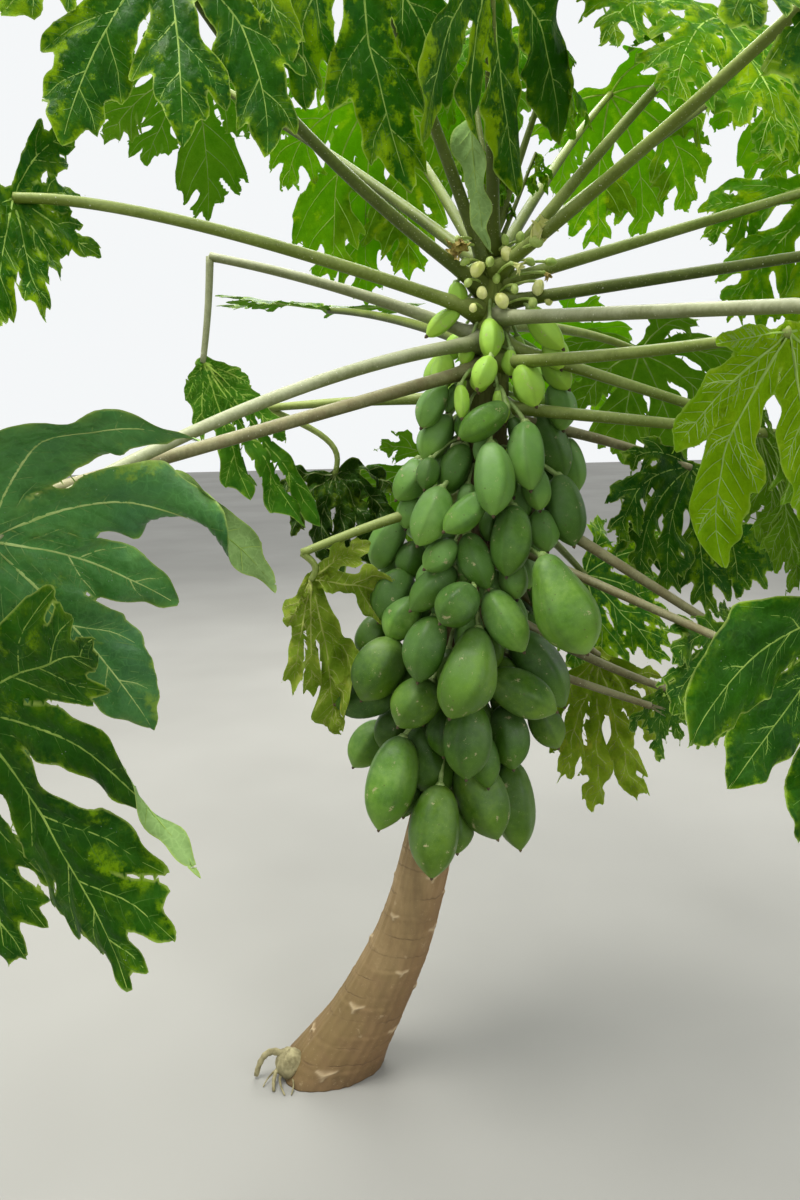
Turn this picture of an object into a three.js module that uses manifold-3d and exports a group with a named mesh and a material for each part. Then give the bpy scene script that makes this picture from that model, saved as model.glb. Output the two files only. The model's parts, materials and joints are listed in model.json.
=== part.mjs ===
// Papaya tree in fruit: leaning trunk cut flat at ground level, leaf stalks, leaf blades and the hanging fruit column.
// Millimetres, +Z up, origin at the middle of the flat cut.
import * as THREE from 'three';
import { mergeVertices } from 'three/addons/utils/BufferGeometryUtils.js';
import Module from 'manifold-3d';

const wasm = await Module();
wasm.setup();

// ---- driving dimensions ----
const GAP = 0.4; // clearance cut round each neighbour
const TRUNK_SIDES = 11;
const FLARE = 0.08; // root flare of the foot, share of the radius
const FLARE_HEIGHT = 120;
// trunk axis and radius: x, y, height, radius
const TRUNK = [
  [-12, 0, 0, 96], [6, 0, 32, 87], [78, 0, 135, 76], [156, 0, 293, 63], [194, 0, 403, 57.5], [245, 0, 614, 52],
  [271, 0, 757, 50], [324, 0, 1087, 47], [346, 0, 1295, 45], [362, 0, 1495, 42], [369, 0, 1611, 37], [372, 0, 1725, 28], [379, 0, 1810, 14],
];
const STALK_SIDES = 5;
const STALK_STEPS = 2; // a straight stalk
const STALK_BOWED_STEPS = 3; // one with a slight bow
const STALK_BENT_STEPS = 9; // one that bends over at a shoulder
const BENT = 0.1; // stalks arched more than this have a shoulder
const SHOULDER = 0.6; // the shoulder is rounded over this share of the hanging end
const STALK_FOOT = 14; // radius where a leaf stalk leaves the trunk
const STALK_END = 8; // radius where it meets the blade
const STALK_SEAT = 0.8; // the foot sits this share of the trunk radius out from the axis
const BLADE = 5; // thickness of a leaf blade
const LOBES = [[-130, 0.62], [-84, 0.84], [-42, 0.96], [0, 1], [42, 0.96], [84, 0.84], [130, 0.62]]; // lobe angle, share of blade radius
const LOBE_WIDTH = 0.2; // half width of a lobe at its widest, share of its length
const LOBE_WIDEST = 0.64;
const NARROWING = 0.3; // lobes that hang down draw together, so they are narrower
const SINUS = 0.34; // depth of the cuts between lobes, measured from the stalk
const LIFT = 0.12; // lobes rise a little before they droop
const FOLD = 0.12; // each lobe is folded slightly along its rib
const PASSING = 0.4; // crowded lobes of a hanging leaf pass in front of and behind one another
const BEND_STEPS = 10;

// leaf rows: foot height, azimuth, elevation, stalk length, arch, where it bends, blade radius, facing azimuth, tilt from level, spin, droop, fan
const LEAVES = {
  left_1: [1664, -155.8, 10.1, 842, 0.035, 0.75, 338, -135.2, 68.4, 48.7, 0.48, 1],
  left_2: [1620, -176.3, 16.8, 534, 0.025, 0.5, 348, -76, 70, 27, 0.4, 0.55],
  left_3: [1605, -132.2, -15.7, 1038, 0.04, 0.52, 366, -54.8, 114.1, 81.5, 0.54, 1],
  left_4: [1556, -136.1, -24.2, 1115, 0.103, 0.93, 391, -106.1, 94.2, 46.6, 0.5, 1],
  left_5: [1500, 159.5, -0.8, 468, 0.01, 0.5, 290, -70, 88, 0, 0.8, 0.4],
  left_6: [1300, -169.9, -16.2, 346, 0.02, 0.5, 360, -80, 88, 0, 0.9, 0.26],
  upper_1: [1712, -155, 40.5, 754, -0.08, 0.75, 367, -76.7, 76.4, 3.9, 0.82, 1],
  upper_2: [1750, -143, 61.1, 582, 0.015, 0.61, 378, -76.2, 100.7, 2.7, 0.61, 1],
  upper_3: [1780, -97, 47.9, 484, 0, 0.6, 400, -28.8, 113.4, 44.7, 0.58, 1],
  right_1: [1740, -63, 17, 777, -0.01, 0.5, 380, -63, 50, 0, 0.9, 1],
  right_2: [1740, -20.4, 44.9, 540, 0.02, 0.5, 380, -60, 45, -20, 0.9, 1],
  right_3: [1720, -6.8, 13.8, 645, 0, 0.5, 340, -125, 74, -4, 0.65, 1],
  right_4: [1680, -31.6, 2.8, 687, 0, 0.5, 360, -32, 45, 0, 0.8, 1],
  right_5: [1650, -64.2, -27.3, 944, 0.18, 0.95, 339, -69.2, 98, -51.7, 0.47, 1],
  right_6: [1566, -55.1, -0, 616, -0.011, 0.53, 367, 139.9, 86.7, 23.3, 0.42, 1],
  right_7: [1640, 48.3, -2.4, 608, 0.03, 0.5, 370, 48, 55, -10, 0.9, 1],
  right_8: [1600, -14, -19.4, 501, 0, 0.5, 350, -14, 70, 0, 0.9, 1],
  right_9: [1480, -20.2, -7, 635, 0, 0.5, 350, -20, 55, 0, 0.9, 1],
  right_10: [1460, 14.3, -15, 449, 0.02, 0.5, 330, -70, 80, -20, 0.6, 1],
  right_11: [1320, -17.1, -32.2, 566, 0, 0.5, 320, -60, 75, -10, 0.9, 1],
  right_13: [1080, 9.5, -28.2, 461, -0.03, 0.5, 280, -60, 80, 40, 0.5, 0.9],
  right_15: [1160, 36.5, -36.3, 440, 0, 0.5, 380, -80, 88, 0, 0.8, 0.4],
};
// bare stalks of dropped leaves
const STUBS = {
  right_12: [1220, -34.5, -19, 517, 0, 0.5],
  right_14: [980, 2.5, -20.8, 395, 0, 0.5],
};
// whole fronds, stalk and blade together, on the far side
const FRONDS = {
  back_1: [1740, 109.3, 38.7, 862, 0.02, 0.5, 400, 109, 45, 0, 0.9, 1],
  back_2: [1760, 90.6, 38, 1106, 0.02, 0.5, 380, 91, 40, 0, 0.9, 1],
  back_3: [1760, 61.5, 33.7, 943, 0.02, 0.5, 410, 62, 40, -20, 0.9, 1],
  back_4: [1660, 74.3, 3.4, 911, 0.02, 0.5, 380, 74, 50, 0, 0.9, 1],
  back_5: [1320, 56.1, -26.8, 590, 0.02, 0.5, 340, -60, 75, 40, 0.6, 0.9],
  back_6: [1600, 118, 12, 760, 0.02, 0.5, 380, 118, 50, 0, 0.9, 1],
  back_7: [1450, 95, -10, 640, 0.02, 0.5, 350, 95, 60, 0, 0.9, 1],
  back_8: [1750, 140, 33, 1050, 0.02, 0.5, 390, 140, 45, 0, 0.9, 1],
  back_9: [1750, 28, 33, 950, 0.02, 0.5, 390, 28, 45, 0, 0.9, 1],
};
// stalks that have snapped over hang down by this much before the blade: drop, lean towards +X
const KINKS = { left_2: [235, -20], left_5: [150, 145], left_6: [55, 15] };
// young leaves standing on the tip: azimuth, elevation, stalk length, blade radius
const YOUNG = [[-80, 80, 330, 150], [-10, 70, 320, 160], [110, 72, 340, 160]];
const TIP_BUD = [26, 60]; // radius and height of the bud at the tip
// fruit column: foot, top, then radii up each tier
const FRUIT_TIERS = {
  fruit_lower: [[525, 70], [600, 145], [700, 178], [830, 215], [958, 230]],
  fruit_middle: [[958.4, 230], [1060, 228], [1180, 205], [1298, 195]],
  fruit_upper: [[1298.4, 192], [1400, 182], [1500, 150], [1610, 118]],
};
const FRUIT_SIDES = 8;
const KNOB = { at: [-112, -4], radius: 42, height: 38 }; // low root knob beside the foot

// ---- small vector helpers ----
const rad = (d) => (d * Math.PI) / 180;
const V = (x, y, z) => new THREE.Vector3(x, y, z);
const DOWN = V(0, 0, -1);

function trunkAt(z) {
  const rows = TRUNK;
  let i = 0;
  while (i < rows.length - 2 && z > rows[i + 1][2]) i += 1;
  const a = rows[i];
  const b = rows[i + 1];
  const t = Math.min(Math.max((z - a[2]) / (b[2] - a[2]), 0), 1);
  return { x: a[0] + (b[0] - a[0]) * t, y: a[1] + (b[1] - a[1]) * t, r: a[3] + (b[3] - a[3]) * t, lean: Math.atan2(b[0] - a[0], b[2] - a[2]) };
}

// a closed geometry: positions only, shared vertices merged
function closed(geometry) {
  geometry.deleteAttribute('normal');
  geometry.deleteAttribute('uv');
  return mergeVertices(geometry, 1e-4);
}

function solid(geometry) {
  const g = closed(geometry);
  return new wasm.Manifold(new wasm.Mesh({
    numProp: 3,
    vertProperties: new Float32Array(g.attributes.position.array),
    triVerts: new Uint32Array(g.index.array),
  }));
}

// moves every vertex of a geometry with f
function shaped(geometry, f) {
  const p = geometry.attributes.position;
  const v = V(0, 0, 0);
  for (let i = 0; i < p.count; i += 1) {
    v.fromBufferAttribute(p, i);
    const q = f(v);
    p.setXYZ(i, q.x, q.y, q.z);
  }
  return geometry;
}

// ---- trunk ----
function trunkSolid(grow) {
  const rings = TRUNK.length - 1;
  const g = new THREE.CylinderGeometry(1, 1, 1, TRUNK_SIDES, rings);
  return solid(shaped(g, (v) => {
    const j = Math.round((v.y + 0.5) * rings);
    const [x, y, z, r] = TRUNK[j];
    const near = trunkAt(z);
    const next = TRUNK[Math.min(j + 1, rings)];
    const last = TRUNK[Math.max(j - 1, 0)];
    const lean = Math.atan2(next[0] - last[0], next[2] - last[2]);
    const along = Math.hypot(v.x, v.z) < 1e-6 ? 0 : 1;
    const phi = Math.atan2(v.x, v.z);
    const foot = Math.max(0, 1 - z / FLARE_HEIGHT);
    const rr = along * (r + grow) * (1 + FLARE * foot * Math.cos(3 * phi));
    const lift = j === 0 ? -grow : j === rings ? grow : 0;
    return V(x + (rr * Math.cos(phi)) / Math.cos(lean), near.y + rr * Math.sin(phi), z + lift);
  }));
}

// ---- limbs: a tapered round bar along a curve ----
function limb(at, side, r0, r1, sides, steps, grow) {
  const g = new THREE.CylinderGeometry(1, 1, 1, sides, steps);
  return shaped(g, (v) => {
    const t = v.y + 0.5;
    const e = 0.02;
    const tangent = at(Math.min(t + e, 1)).sub(at(Math.max(t - e, 0))).normalize();
    const a = side.clone().addScaledVector(tangent, -side.dot(tangent)).normalize();
    const b = tangent.clone().cross(a);
    const r = r0 + (r1 - r0) * t + grow;
    const end = t < 1e-6 ? -grow : t > 1 - 1e-6 ? grow : 0;
    return at(t).addScaledVector(a, v.z * r).addScaledVector(b, v.x * r).addScaledVector(tangent, end);
  });
}

function stalkCurve([z0, az, el, length, arch, k]) {
  const foot = trunkAt(z0);
  const dir = V(Math.cos(rad(az)), Math.sin(rad(az)), 0);
  const start = V(foot.x, foot.y, z0).addScaledVector(dir, foot.r * STALK_SEAT);
  const end = start.clone().addScaledVector(dir, length * Math.cos(rad(el))).add(V(0, 0, length * Math.sin(rad(el))));
  const mid = start.clone().lerp(end, k).add(V(0, 0, arch * length * 2));
  let curve = new THREE.QuadraticBezierCurve3(start, mid, end);
  if (arch > BENT) {
    const reach = SHOULDER * mid.distanceTo(end);
    const before = mid.clone().addScaledVector(start.clone().sub(mid).normalize(), reach);
    const after = mid.clone().addScaledVector(end.clone().sub(mid).normalize(), reach);
    curve = new THREE.CurvePath();
    curve.add(new THREE.LineCurve3(start, before));
    curve.add(new THREE.QuadraticBezierCurve3(before, mid, after));
    curve.add(new THREE.LineCurve3(after, end));
  }
  return { at: (t) => curve.getPoint(t), end, side: V(-Math.sin(rad(az)), Math.cos(rad(az)), 0) };
}

function stalkSolid(row, grow) {
  const c = stalkCurve(row);
  return solid(limb(c.at, c.side, STALK_FOOT, STALK_END, STALK_SIDES, row[4] > BENT ? STALK_BENT_STEPS : Math.abs(row[4]) > 0.021 ? STALK_BOWED_STEPS : STALK_STEPS, grow));
}

// ---- leaf blades ----
function leafFrame(face, tilt, spin) {
  const f = rad(face);
  const t = rad(tilt);
  const s = rad(spin);
  const n = V(Math.sin(t) * Math.cos(f), Math.sin(t) * Math.sin(f), Math.cos(t));
  const e = V(Math.cos(t) * Math.cos(f), Math.cos(t) * Math.sin(f), -Math.sin(t));
  const l = n.clone().cross(e);
  return { n, x: e.clone().multiplyScalar(Math.cos(s)).addScaledVector(l, Math.sin(s)), y: l.clone().multiplyScalar(Math.cos(s)).addScaledVector(e, -Math.sin(s)) };
}

// walks out along angle th for the distance s, the leaf bending down under its weight
function bend(frame, th, s, droop, lift = LIFT) {
  const d0 = frame.x.clone().multiplyScalar(Math.cos(th)).addScaledVector(frame.y, Math.sin(th)).addScaledVector(frame.n, lift).normalize();
  const hang = DOWN.clone().addScaledVector(frame.n, LIFT).normalize();
  const angle = Math.acos(Math.min(Math.max(d0.dot(hang), -0.9999), 0.9999));
  const p = V(0, 0, 0);
  const d = d0.clone();
  for (let i = 0; i < BEND_STEPS; i += 1) {
    const u = ((i + 0.5) / BEND_STEPS) * s;
    const g = Math.min(0.93, droop * Math.max(u, 0) ** 1.25);
    d.copy(d0).multiplyScalar(Math.sin((1 - g) * angle)).addScaledVector(hang, Math.sin(g * angle)).normalize();
    p.addScaledVector(d, s / BEND_STEPS);
  }
  return { p, d };
}

// outline of the blade in its own plane, radius 1, grown outwards by w
function bladeShape(fan, droop, w) {
  const points = [];
  const polar = (th, r) => points.push(new THREE.Vector2(Math.cos(rad(th)) * r, Math.sin(rad(th)) * r));
  const width = LOBE_WIDTH * Math.min(1, fan * 1.08) * (1 - NARROWING * Math.min(droop, 1));
  LOBES.forEach(([a, len], i) => {
    const th = a * fan;
    const c = Math.cos(rad(th));
    const s = Math.sin(rad(th));
    const local = (u, v) => points.push(new THREE.Vector2(c * u - s * v, s * u + c * v));
    if (i === 0) polar(th - 28 * fan, 0.22);
    local(LOBE_WIDEST * len, -width * len - w);
    local(len + w, 0);
    local(LOBE_WIDEST * len, width * len + w);
    if (i < LOBES.length - 1) polar(((a + LOBES[i + 1][0]) / 2) * fan, SINUS * Math.min(len, LOBES[i + 1][1]) + w);
    else polar(th + 28 * fan, 0.22);
  });
  points.push(new THREE.Vector2(-0.03 - w, 0));
  return new THREE.Shape(points);
}

function bladeSolid(centre, R, face, tilt, spin, droop, fan, grow) {
  const frame = leafFrame(face, tilt, spin);
  const depth = BLADE + 2 * grow;
  const g = new THREE.ExtrudeGeometry(bladeShape(fan, droop, grow / R), { depth, steps: 1, bevelEnabled: false });
  const smooth = (a, b, x) => {
    const t = Math.min(Math.max((x - a) / (b - a), 0), 1);
    return t * t * (3 - 2 * t);
  };
  return solid(shaped(g, (v) => {
    const r = Math.hypot(v.x, v.y);
    const th = Math.atan2(v.y, v.x);
    let best = LOBES[0];
    LOBES.forEach((l) => { if (Math.abs(th - rad(l[0] * fan)) < Math.abs(th - rad(best[0] * fan))) best = l; });
    const lift = LIFT + (LOBES.indexOf(best) % 2 ? 1 : -1) * PASSING * (1 - fan);
    const dth = th - rad(best[0] * fan);
    const polar = bend(frame, th, r, droop);
    const along = bend(frame, rad(best[0] * fan), r * Math.cos(dth), droop, lift);
    const t0 = frame.y.clone().multiplyScalar(Math.cos(rad(best[0] * fan))).addScaledVector(frame.x, -Math.sin(rad(best[0] * fan)));
    const t = t0.addScaledVector(along.d, -t0.dot(along.d)).normalize();
    const n = along.d.clone().cross(t);
    const w = r * Math.sin(dth);
    const local = along.p.clone().addScaledVector(t, w).addScaledVector(n, -FOLD * Math.abs(w));
    const mix = smooth(0.36, 0.6, r / best[1]);
    const tp = frame.y.clone().multiplyScalar(Math.cos(th)).addScaledVector(frame.x, -Math.sin(th));
    tp.addScaledVector(polar.d, -tp.dot(polar.d)).normalize();
    const np = polar.d.clone().cross(tp);
    const p = polar.p.lerp(local, mix).multiplyScalar(R).add(centre);
    return p.addScaledVector(np.lerp(n, mix).normalize(), v.z - depth / 2);
  }));
}

function leafSolid(name, row, grow) {
  const end = stalkCurve(row).end;
  const [, , , , , , R, face, tilt, spin, droop, fan] = row;
  if (!KINKS[name]) return bladeSolid(end, R, face, tilt, spin, droop, fan, grow);
  const [drop, lean] = KINKS[name];
  const top = end.clone().add(V(0, 0, -STALK_END));
  const foot = end.clone().add(V(lean, 0, -drop));
  const hang = solid(limb((t) => top.clone().lerp(foot, t), V(0, 1, 0), STALK_END, STALK_END * 0.8, STALK_SIDES, 1, grow));
  return bladeSolid(foot.add(V(0, 0, 6)), R, face, tilt, spin, droop, fan, grow).add(hang);
}

function frondSolid(row, grow) {
  const [, , , , , , R, face, tilt, spin, droop, fan] = row;
  return stalkSolid(row, grow).add(bladeSolid(stalkCurve(row).end, R, face, tilt, spin, droop, fan, grow));
}

// ---- young leaves on the tip ----
function youngSolid(grow) {
  const tip = trunkAt(TRUNK[TRUNK.length - 1][2]);
  const top = V(tip.x, tip.y, TRUNK[TRUNK.length - 1][2] + GAP + 0.4);
  let body = solid(shaped(new THREE.SphereGeometry(1, 6, 4), (v) => V(v.z * (TIP_BUD[0] + grow), v.x * (TIP_BUD[0] + grow), v.y * (TIP_BUD[1] / 2 + grow)).add(top).add(V(0, 0, TIP_BUD[1] / 2))));
  YOUNG.forEach(([az, el, length, R]) => {
    const dir = V(Math.cos(rad(az)) * Math.cos(rad(el)), Math.sin(rad(az)) * Math.cos(rad(el)), Math.sin(rad(el)));
    const start = top.clone().add(V(0, 0, 20));
    const end = start.clone().addScaledVector(dir, length);
    const side = V(-Math.sin(rad(az)), Math.cos(rad(az)), 0);
    body = body.add(solid(limb((t) => start.clone().lerp(end, t), side, 9, 5, 3, 1, grow)));
    body = body.add(bladeSolid(end.clone().addScaledVector(dir, -4), R, az, 62, 0, 0.8, 0.9, grow));
  });
  return body;
}

// ---- fruit column tiers round the trunk ----
function tierSolid(rows) {
  const z0 = rows[0][0];
  const z1 = rows[rows.length - 1][0];
  const profile = [new THREE.Vector2(0, z0), ...rows.map(([z, r]) => new THREE.Vector2(r, z)), new THREE.Vector2(0, z1)];
  const g = new THREE.LatheGeometry(profile, FRUIT_SIDES);
  return solid(shaped(g, (v) => {
    const at = trunkAt(v.y);
    return V(v.z + at.x, v.x + at.y, v.y);
  }));
}

function knobSolid(grow) {
  const g = new THREE.SphereGeometry(1, 7, 4);
  return solid(shaped(g, (v) => V(v.z * (KNOB.radius + grow) + KNOB.at[0], v.x * (KNOB.radius + grow) + KNOB.at[1], Math.max(v.y, -0.001) * (KNOB.height + grow))))
    .intersect(solid(new THREE.BoxGeometry(400, 400, 200).translate(KNOB.at[0], KNOB.at[1], 100)));
}

// ---- assembly ----
const group = new THREE.Group();
group.name = 'papaya_tree';

const look = {
  bark: () => new THREE.MeshStandardMaterial({ color: 0xa58c69, roughness: 0.9, metalness: 0 }),
  stalk: () => new THREE.MeshStandardMaterial({ color: 0x9aa878, roughness: 0.6, metalness: 0 }),
  leaf: () => new THREE.MeshStandardMaterial({ color: 0x2f6a24, roughness: 0.5, metalness: 0 }),
  fruit: () => new THREE.MeshStandardMaterial({ color: 0x5f8c4a, roughness: 0.6, metalness: 0 }),
};

const cutters = []; // grown copies of what is already placed, with their boxes

function overlaps(a, b) {
  return a.min[0] < b.max[0] && b.min[0] < a.max[0] && a.min[1] < b.max[1] && b.min[1] < a.max[1] && a.min[2] < b.max[2] && b.min[2] < a.max[2];
}

// cuts a solid clear of everything placed before it, keeps its main body, and adds it to the group
function place(name, body, grown, material) {
  let out = body;
  const box = out.boundingBox();
  cutters.forEach((c) => { if (overlaps(box, c.box)) out = out.subtract(c.solid); });
  out = out.decompose().sort((p, q) => q.volume() - p.volume())[0];
  const m = out.getMesh();
  const g = new THREE.BufferGeometry();
  g.setAttribute('position', new THREE.BufferAttribute(new Float32Array(m.vertProperties), 3));
  g.setIndex(new THREE.BufferAttribute(new Uint32Array(m.triVerts), 1));
  g.computeVertexNormals();
  const mesh = new THREE.Mesh(g, material);
  mesh.name = name;
  group.add(mesh);
  if (grown) cutters.push({ solid: grown, box: grown.boundingBox() });
}

place('trunk', trunkSolid(0).add(knobSolid(0)), trunkSolid(GAP), look.bark());
place('young_leaves', youngSolid(0), youngSolid(GAP), look.leaf());
Object.entries({ ...LEAVES, ...STUBS }).forEach(([name, row]) => place(`stalk_${name}`, stalkSolid(row, 0), stalkSolid(row, GAP), look.stalk()));
Object.entries(FRUIT_TIERS).forEach(([name, rows]) => place(name, tierSolid(rows), tierSolid(rows.map(([z, r], i) => [z + (i === 0 ? -GAP : i === rows.length - 1 ? GAP : 0), r + GAP])), look.fruit()));
Object.entries(LEAVES).forEach(([name, row]) => place(`leaf_${name}`, leafSolid(name, row, 0), leafSolid(name, row, GAP), look.leaf()));
Object.entries(FRONDS).forEach(([name, row]) => place(`frond_${name}`, frondSolid(row, 0), frondSolid(row, GAP), look.leaf()));

export default group;
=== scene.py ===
import json
import math

import bpy
import numpy as np
from mathutils import Matrix, Vector

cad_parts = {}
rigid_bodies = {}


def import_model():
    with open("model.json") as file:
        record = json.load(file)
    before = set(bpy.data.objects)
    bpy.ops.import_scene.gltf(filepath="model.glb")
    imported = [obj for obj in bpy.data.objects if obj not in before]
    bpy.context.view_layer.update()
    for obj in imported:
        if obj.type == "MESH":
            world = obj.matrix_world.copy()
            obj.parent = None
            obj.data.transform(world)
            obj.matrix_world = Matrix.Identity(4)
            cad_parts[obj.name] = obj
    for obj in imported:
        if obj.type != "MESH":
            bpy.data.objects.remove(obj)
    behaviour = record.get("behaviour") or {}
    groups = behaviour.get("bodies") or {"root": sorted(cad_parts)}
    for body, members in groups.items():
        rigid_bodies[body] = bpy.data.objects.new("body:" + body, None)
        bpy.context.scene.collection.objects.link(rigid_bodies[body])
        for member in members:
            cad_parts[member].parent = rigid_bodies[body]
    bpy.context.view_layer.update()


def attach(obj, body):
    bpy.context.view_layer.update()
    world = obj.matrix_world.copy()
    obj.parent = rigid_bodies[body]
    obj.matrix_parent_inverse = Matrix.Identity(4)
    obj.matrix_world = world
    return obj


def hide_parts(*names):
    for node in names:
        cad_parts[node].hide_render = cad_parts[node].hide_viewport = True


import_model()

# Papaya tree in fruit. Metres, +Z up, origin at the flat cut of the trunk.

DOWN = np.array([0.0, 0.0, -1.0])
UP = np.array([0.0, 0.0, 1.0])


def rad(d):
    return math.radians(d)


def unit(v):
    v = np.asarray(v, float)
    return v / (np.linalg.norm(v, axis=-1, keepdims=True) + 1e-12)


def smooth(a, b, x):
    t = np.clip((np.asarray(x, float) - a) / (b - a), 0, 1)
    return t * t * (3 - 2 * t)


# ---------------------------------------------------------------- camera
FOCAL_PX = 900.0  # for a picture 1200 px high
PITCH, ROLL = rad(11.0), rad(-1.4)
EYE = np.array([0.17736, -1.85019, 1.45])
_f = np.array([0, math.cos(PITCH), -math.sin(PITCH)])
_u = np.array([0, math.sin(PITCH), math.cos(PITCH)])
_x = np.array([1.0, 0, 0])
CAM_R = math.cos(ROLL) * _x + math.sin(ROLL) * _u
CAM_U = -math.sin(ROLL) * _x + math.cos(ROLL) * _u
CAM_F = _f


def spot(u, v, depth):
    """Point seen at (u, v) of the 800 x 1200 view, depth metres along the view's axis."""
    return EYE + depth * (CAM_F + (u - 400) / FOCAL_PX * CAM_R - (v - 600) / FOCAL_PX * CAM_U)


def spot_y(u, v, y):
    ray = CAM_F + (u - 400) / FOCAL_PX * CAM_R - (v - 600) / FOCAL_PX * CAM_U
    return EYE + ray * ((y - EYE[1]) / ray[1])


def depth_of(p):
    return float((np.asarray(p) - EYE) @ CAM_F)


cam_data = bpy.data.cameras.new("view")
cam = bpy.data.objects.new("view", cam_data)
bpy.context.scene.collection.objects.link(cam)
cam_data.sensor_width = 36
cam_data.lens = 36 * FOCAL_PX / 1200
cam_data.clip_start, cam_data.clip_end = 0.02, 100
cam.matrix_world = Matrix((
    (CAM_R[0], CAM_U[0], -CAM_F[0], EYE[0]),
    (CAM_R[1], CAM_U[1], -CAM_F[1], EYE[1]),
    (CAM_R[2], CAM_U[2], -CAM_F[2], EYE[2]),
    (0, 0, 0, 1)))
bpy.context.scene.camera = cam

# ---------------------------------------------------------------- meshes


def make_mesh(name, verts, tris, mats, mat_index=None, smooth_shade=True, attrs=None):
    verts = np.ascontiguousarray(verts, np.float32)
    tris = np.ascontiguousarray(tris, np.int32)
    me = bpy.data.meshes.new(name)
    me.vertices.add(len(verts))
    me.vertices.foreach_set("co", verts.ravel())
    me.loops.add(len(tris) * 3)
    me.loops.foreach_set("vertex_index", tris.ravel())
    me.polygons.add(len(tris))
    me.polygons.foreach_set("loop_start", np.arange(0, len(tris) * 3, 3, dtype=np.int32))
    if mat_index is not None:
        me.polygons.foreach_set("material_index", np.ascontiguousarray(mat_index, np.int32))
    me.update(calc_edges=True)
    for k, values in (attrs or {}).items():
        a = me.attributes.new(k, "FLOAT", "POINT")
        a.data.foreach_set("value", np.ascontiguousarray(values, np.float32))
    for m in mats:
        me.materials.append(m)
    if smooth_shade:
        me.shade_smooth()
    ob = bpy.data.objects.new(name, me)
    bpy.context.scene.collection.objects.link(ob)
    return ob


class Bag:
    """Gathers pieces of mesh with a material number each, and how near each point is to a margin and to a rib; on
    stalks the first holds how far a point faces up, for painted light and shade, and on fruit the second holds its tone
    with painted light and shade.
    """

    def __init__(self):
        self.v, self.f, self.m, self.e, self.r, self.s, self.n = [], [], [], [], [], [], 0

    def add(self, v, f, m, edge=None, rib=None, seam=None):
        if len(f) == 0:
            return
        self.v.append(v)
        self.f.append(np.asarray(f) + self.n)
        self.m.append(np.full(len(f), m))
        self.e.append(np.zeros(len(v)) if edge is None else edge)
        self.r.append(np.zeros(len(v)) if rib is None else rib)
        self.s.append(np.zeros(len(v)) if seam is None else seam)
        self.n += len(v)

    def object(self, name, mats):
        return make_mesh(name, np.concatenate(self.v), np.concatenate(self.f), mats, np.concatenate(self.m), attrs={"edge": np.concatenate(self.e), "rib": np.concatenate(self.r), "seam": np.concatenate(self.s)})


def tube(points, radii, sides=10, side=None, caps=True, ridge=0.0, ridges=5):
    """Round bar along points. side is a direction kept level across the bar."""
    p = np.asarray(points, float)
    n = len(p)
    r = np.broadcast_to(np.asarray(radii, float), (n,))
    t = unit(np.gradient(p, axis=0))
    ref = np.asarray(side if side is not None else (UP if abs(t[:, 2]).mean() < 0.9 else np.array([1.0, 0, 0])), float)
    a = unit(ref - t * (t @ ref)[:, None])
    b = np.cross(t, a)
    ang = np.arange(sides) * 2 * math.pi / sides
    rr = r[:, None] * (1 + ridge * np.cos(ridges * ang))[None]
    v = p[:, None] + rr[..., None] * (np.cos(ang)[None, :, None] * a[:, None] + np.sin(ang)[None, :, None] * b[:, None])
    v = v.reshape(-1, 3)
    i = np.arange(n - 1)[:, None] * sides
    j = np.arange(sides)[None]
    k = (j + 1) % sides
    q0, q1, q2, q3 = (i + j).ravel(), (i + k).ravel(), (i + sides + k).ravel(), (i + sides + j).ravel()
    f = np.concatenate([np.stack([q0, q1, q2], 1), np.stack([q0, q2, q3], 1)])
    if caps:
        c0, c1 = len(v), len(v) + 1
        v = np.concatenate([v, p[:1] - t[:1] * r[0] * 0.4, p[-1:] + t[-1:] * r[-1] * 0.4])
        j = np.arange(sides)
        k = (j + 1) % sides
        f = np.concatenate([f, np.stack([np.full(sides, c0), k, j], 1), np.stack([np.full(sides, c1), (n - 1) * sides + j, (n - 1) * sides + k], 1)])
    return v, f


# ---------------------------------------------------------------- materials


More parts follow.
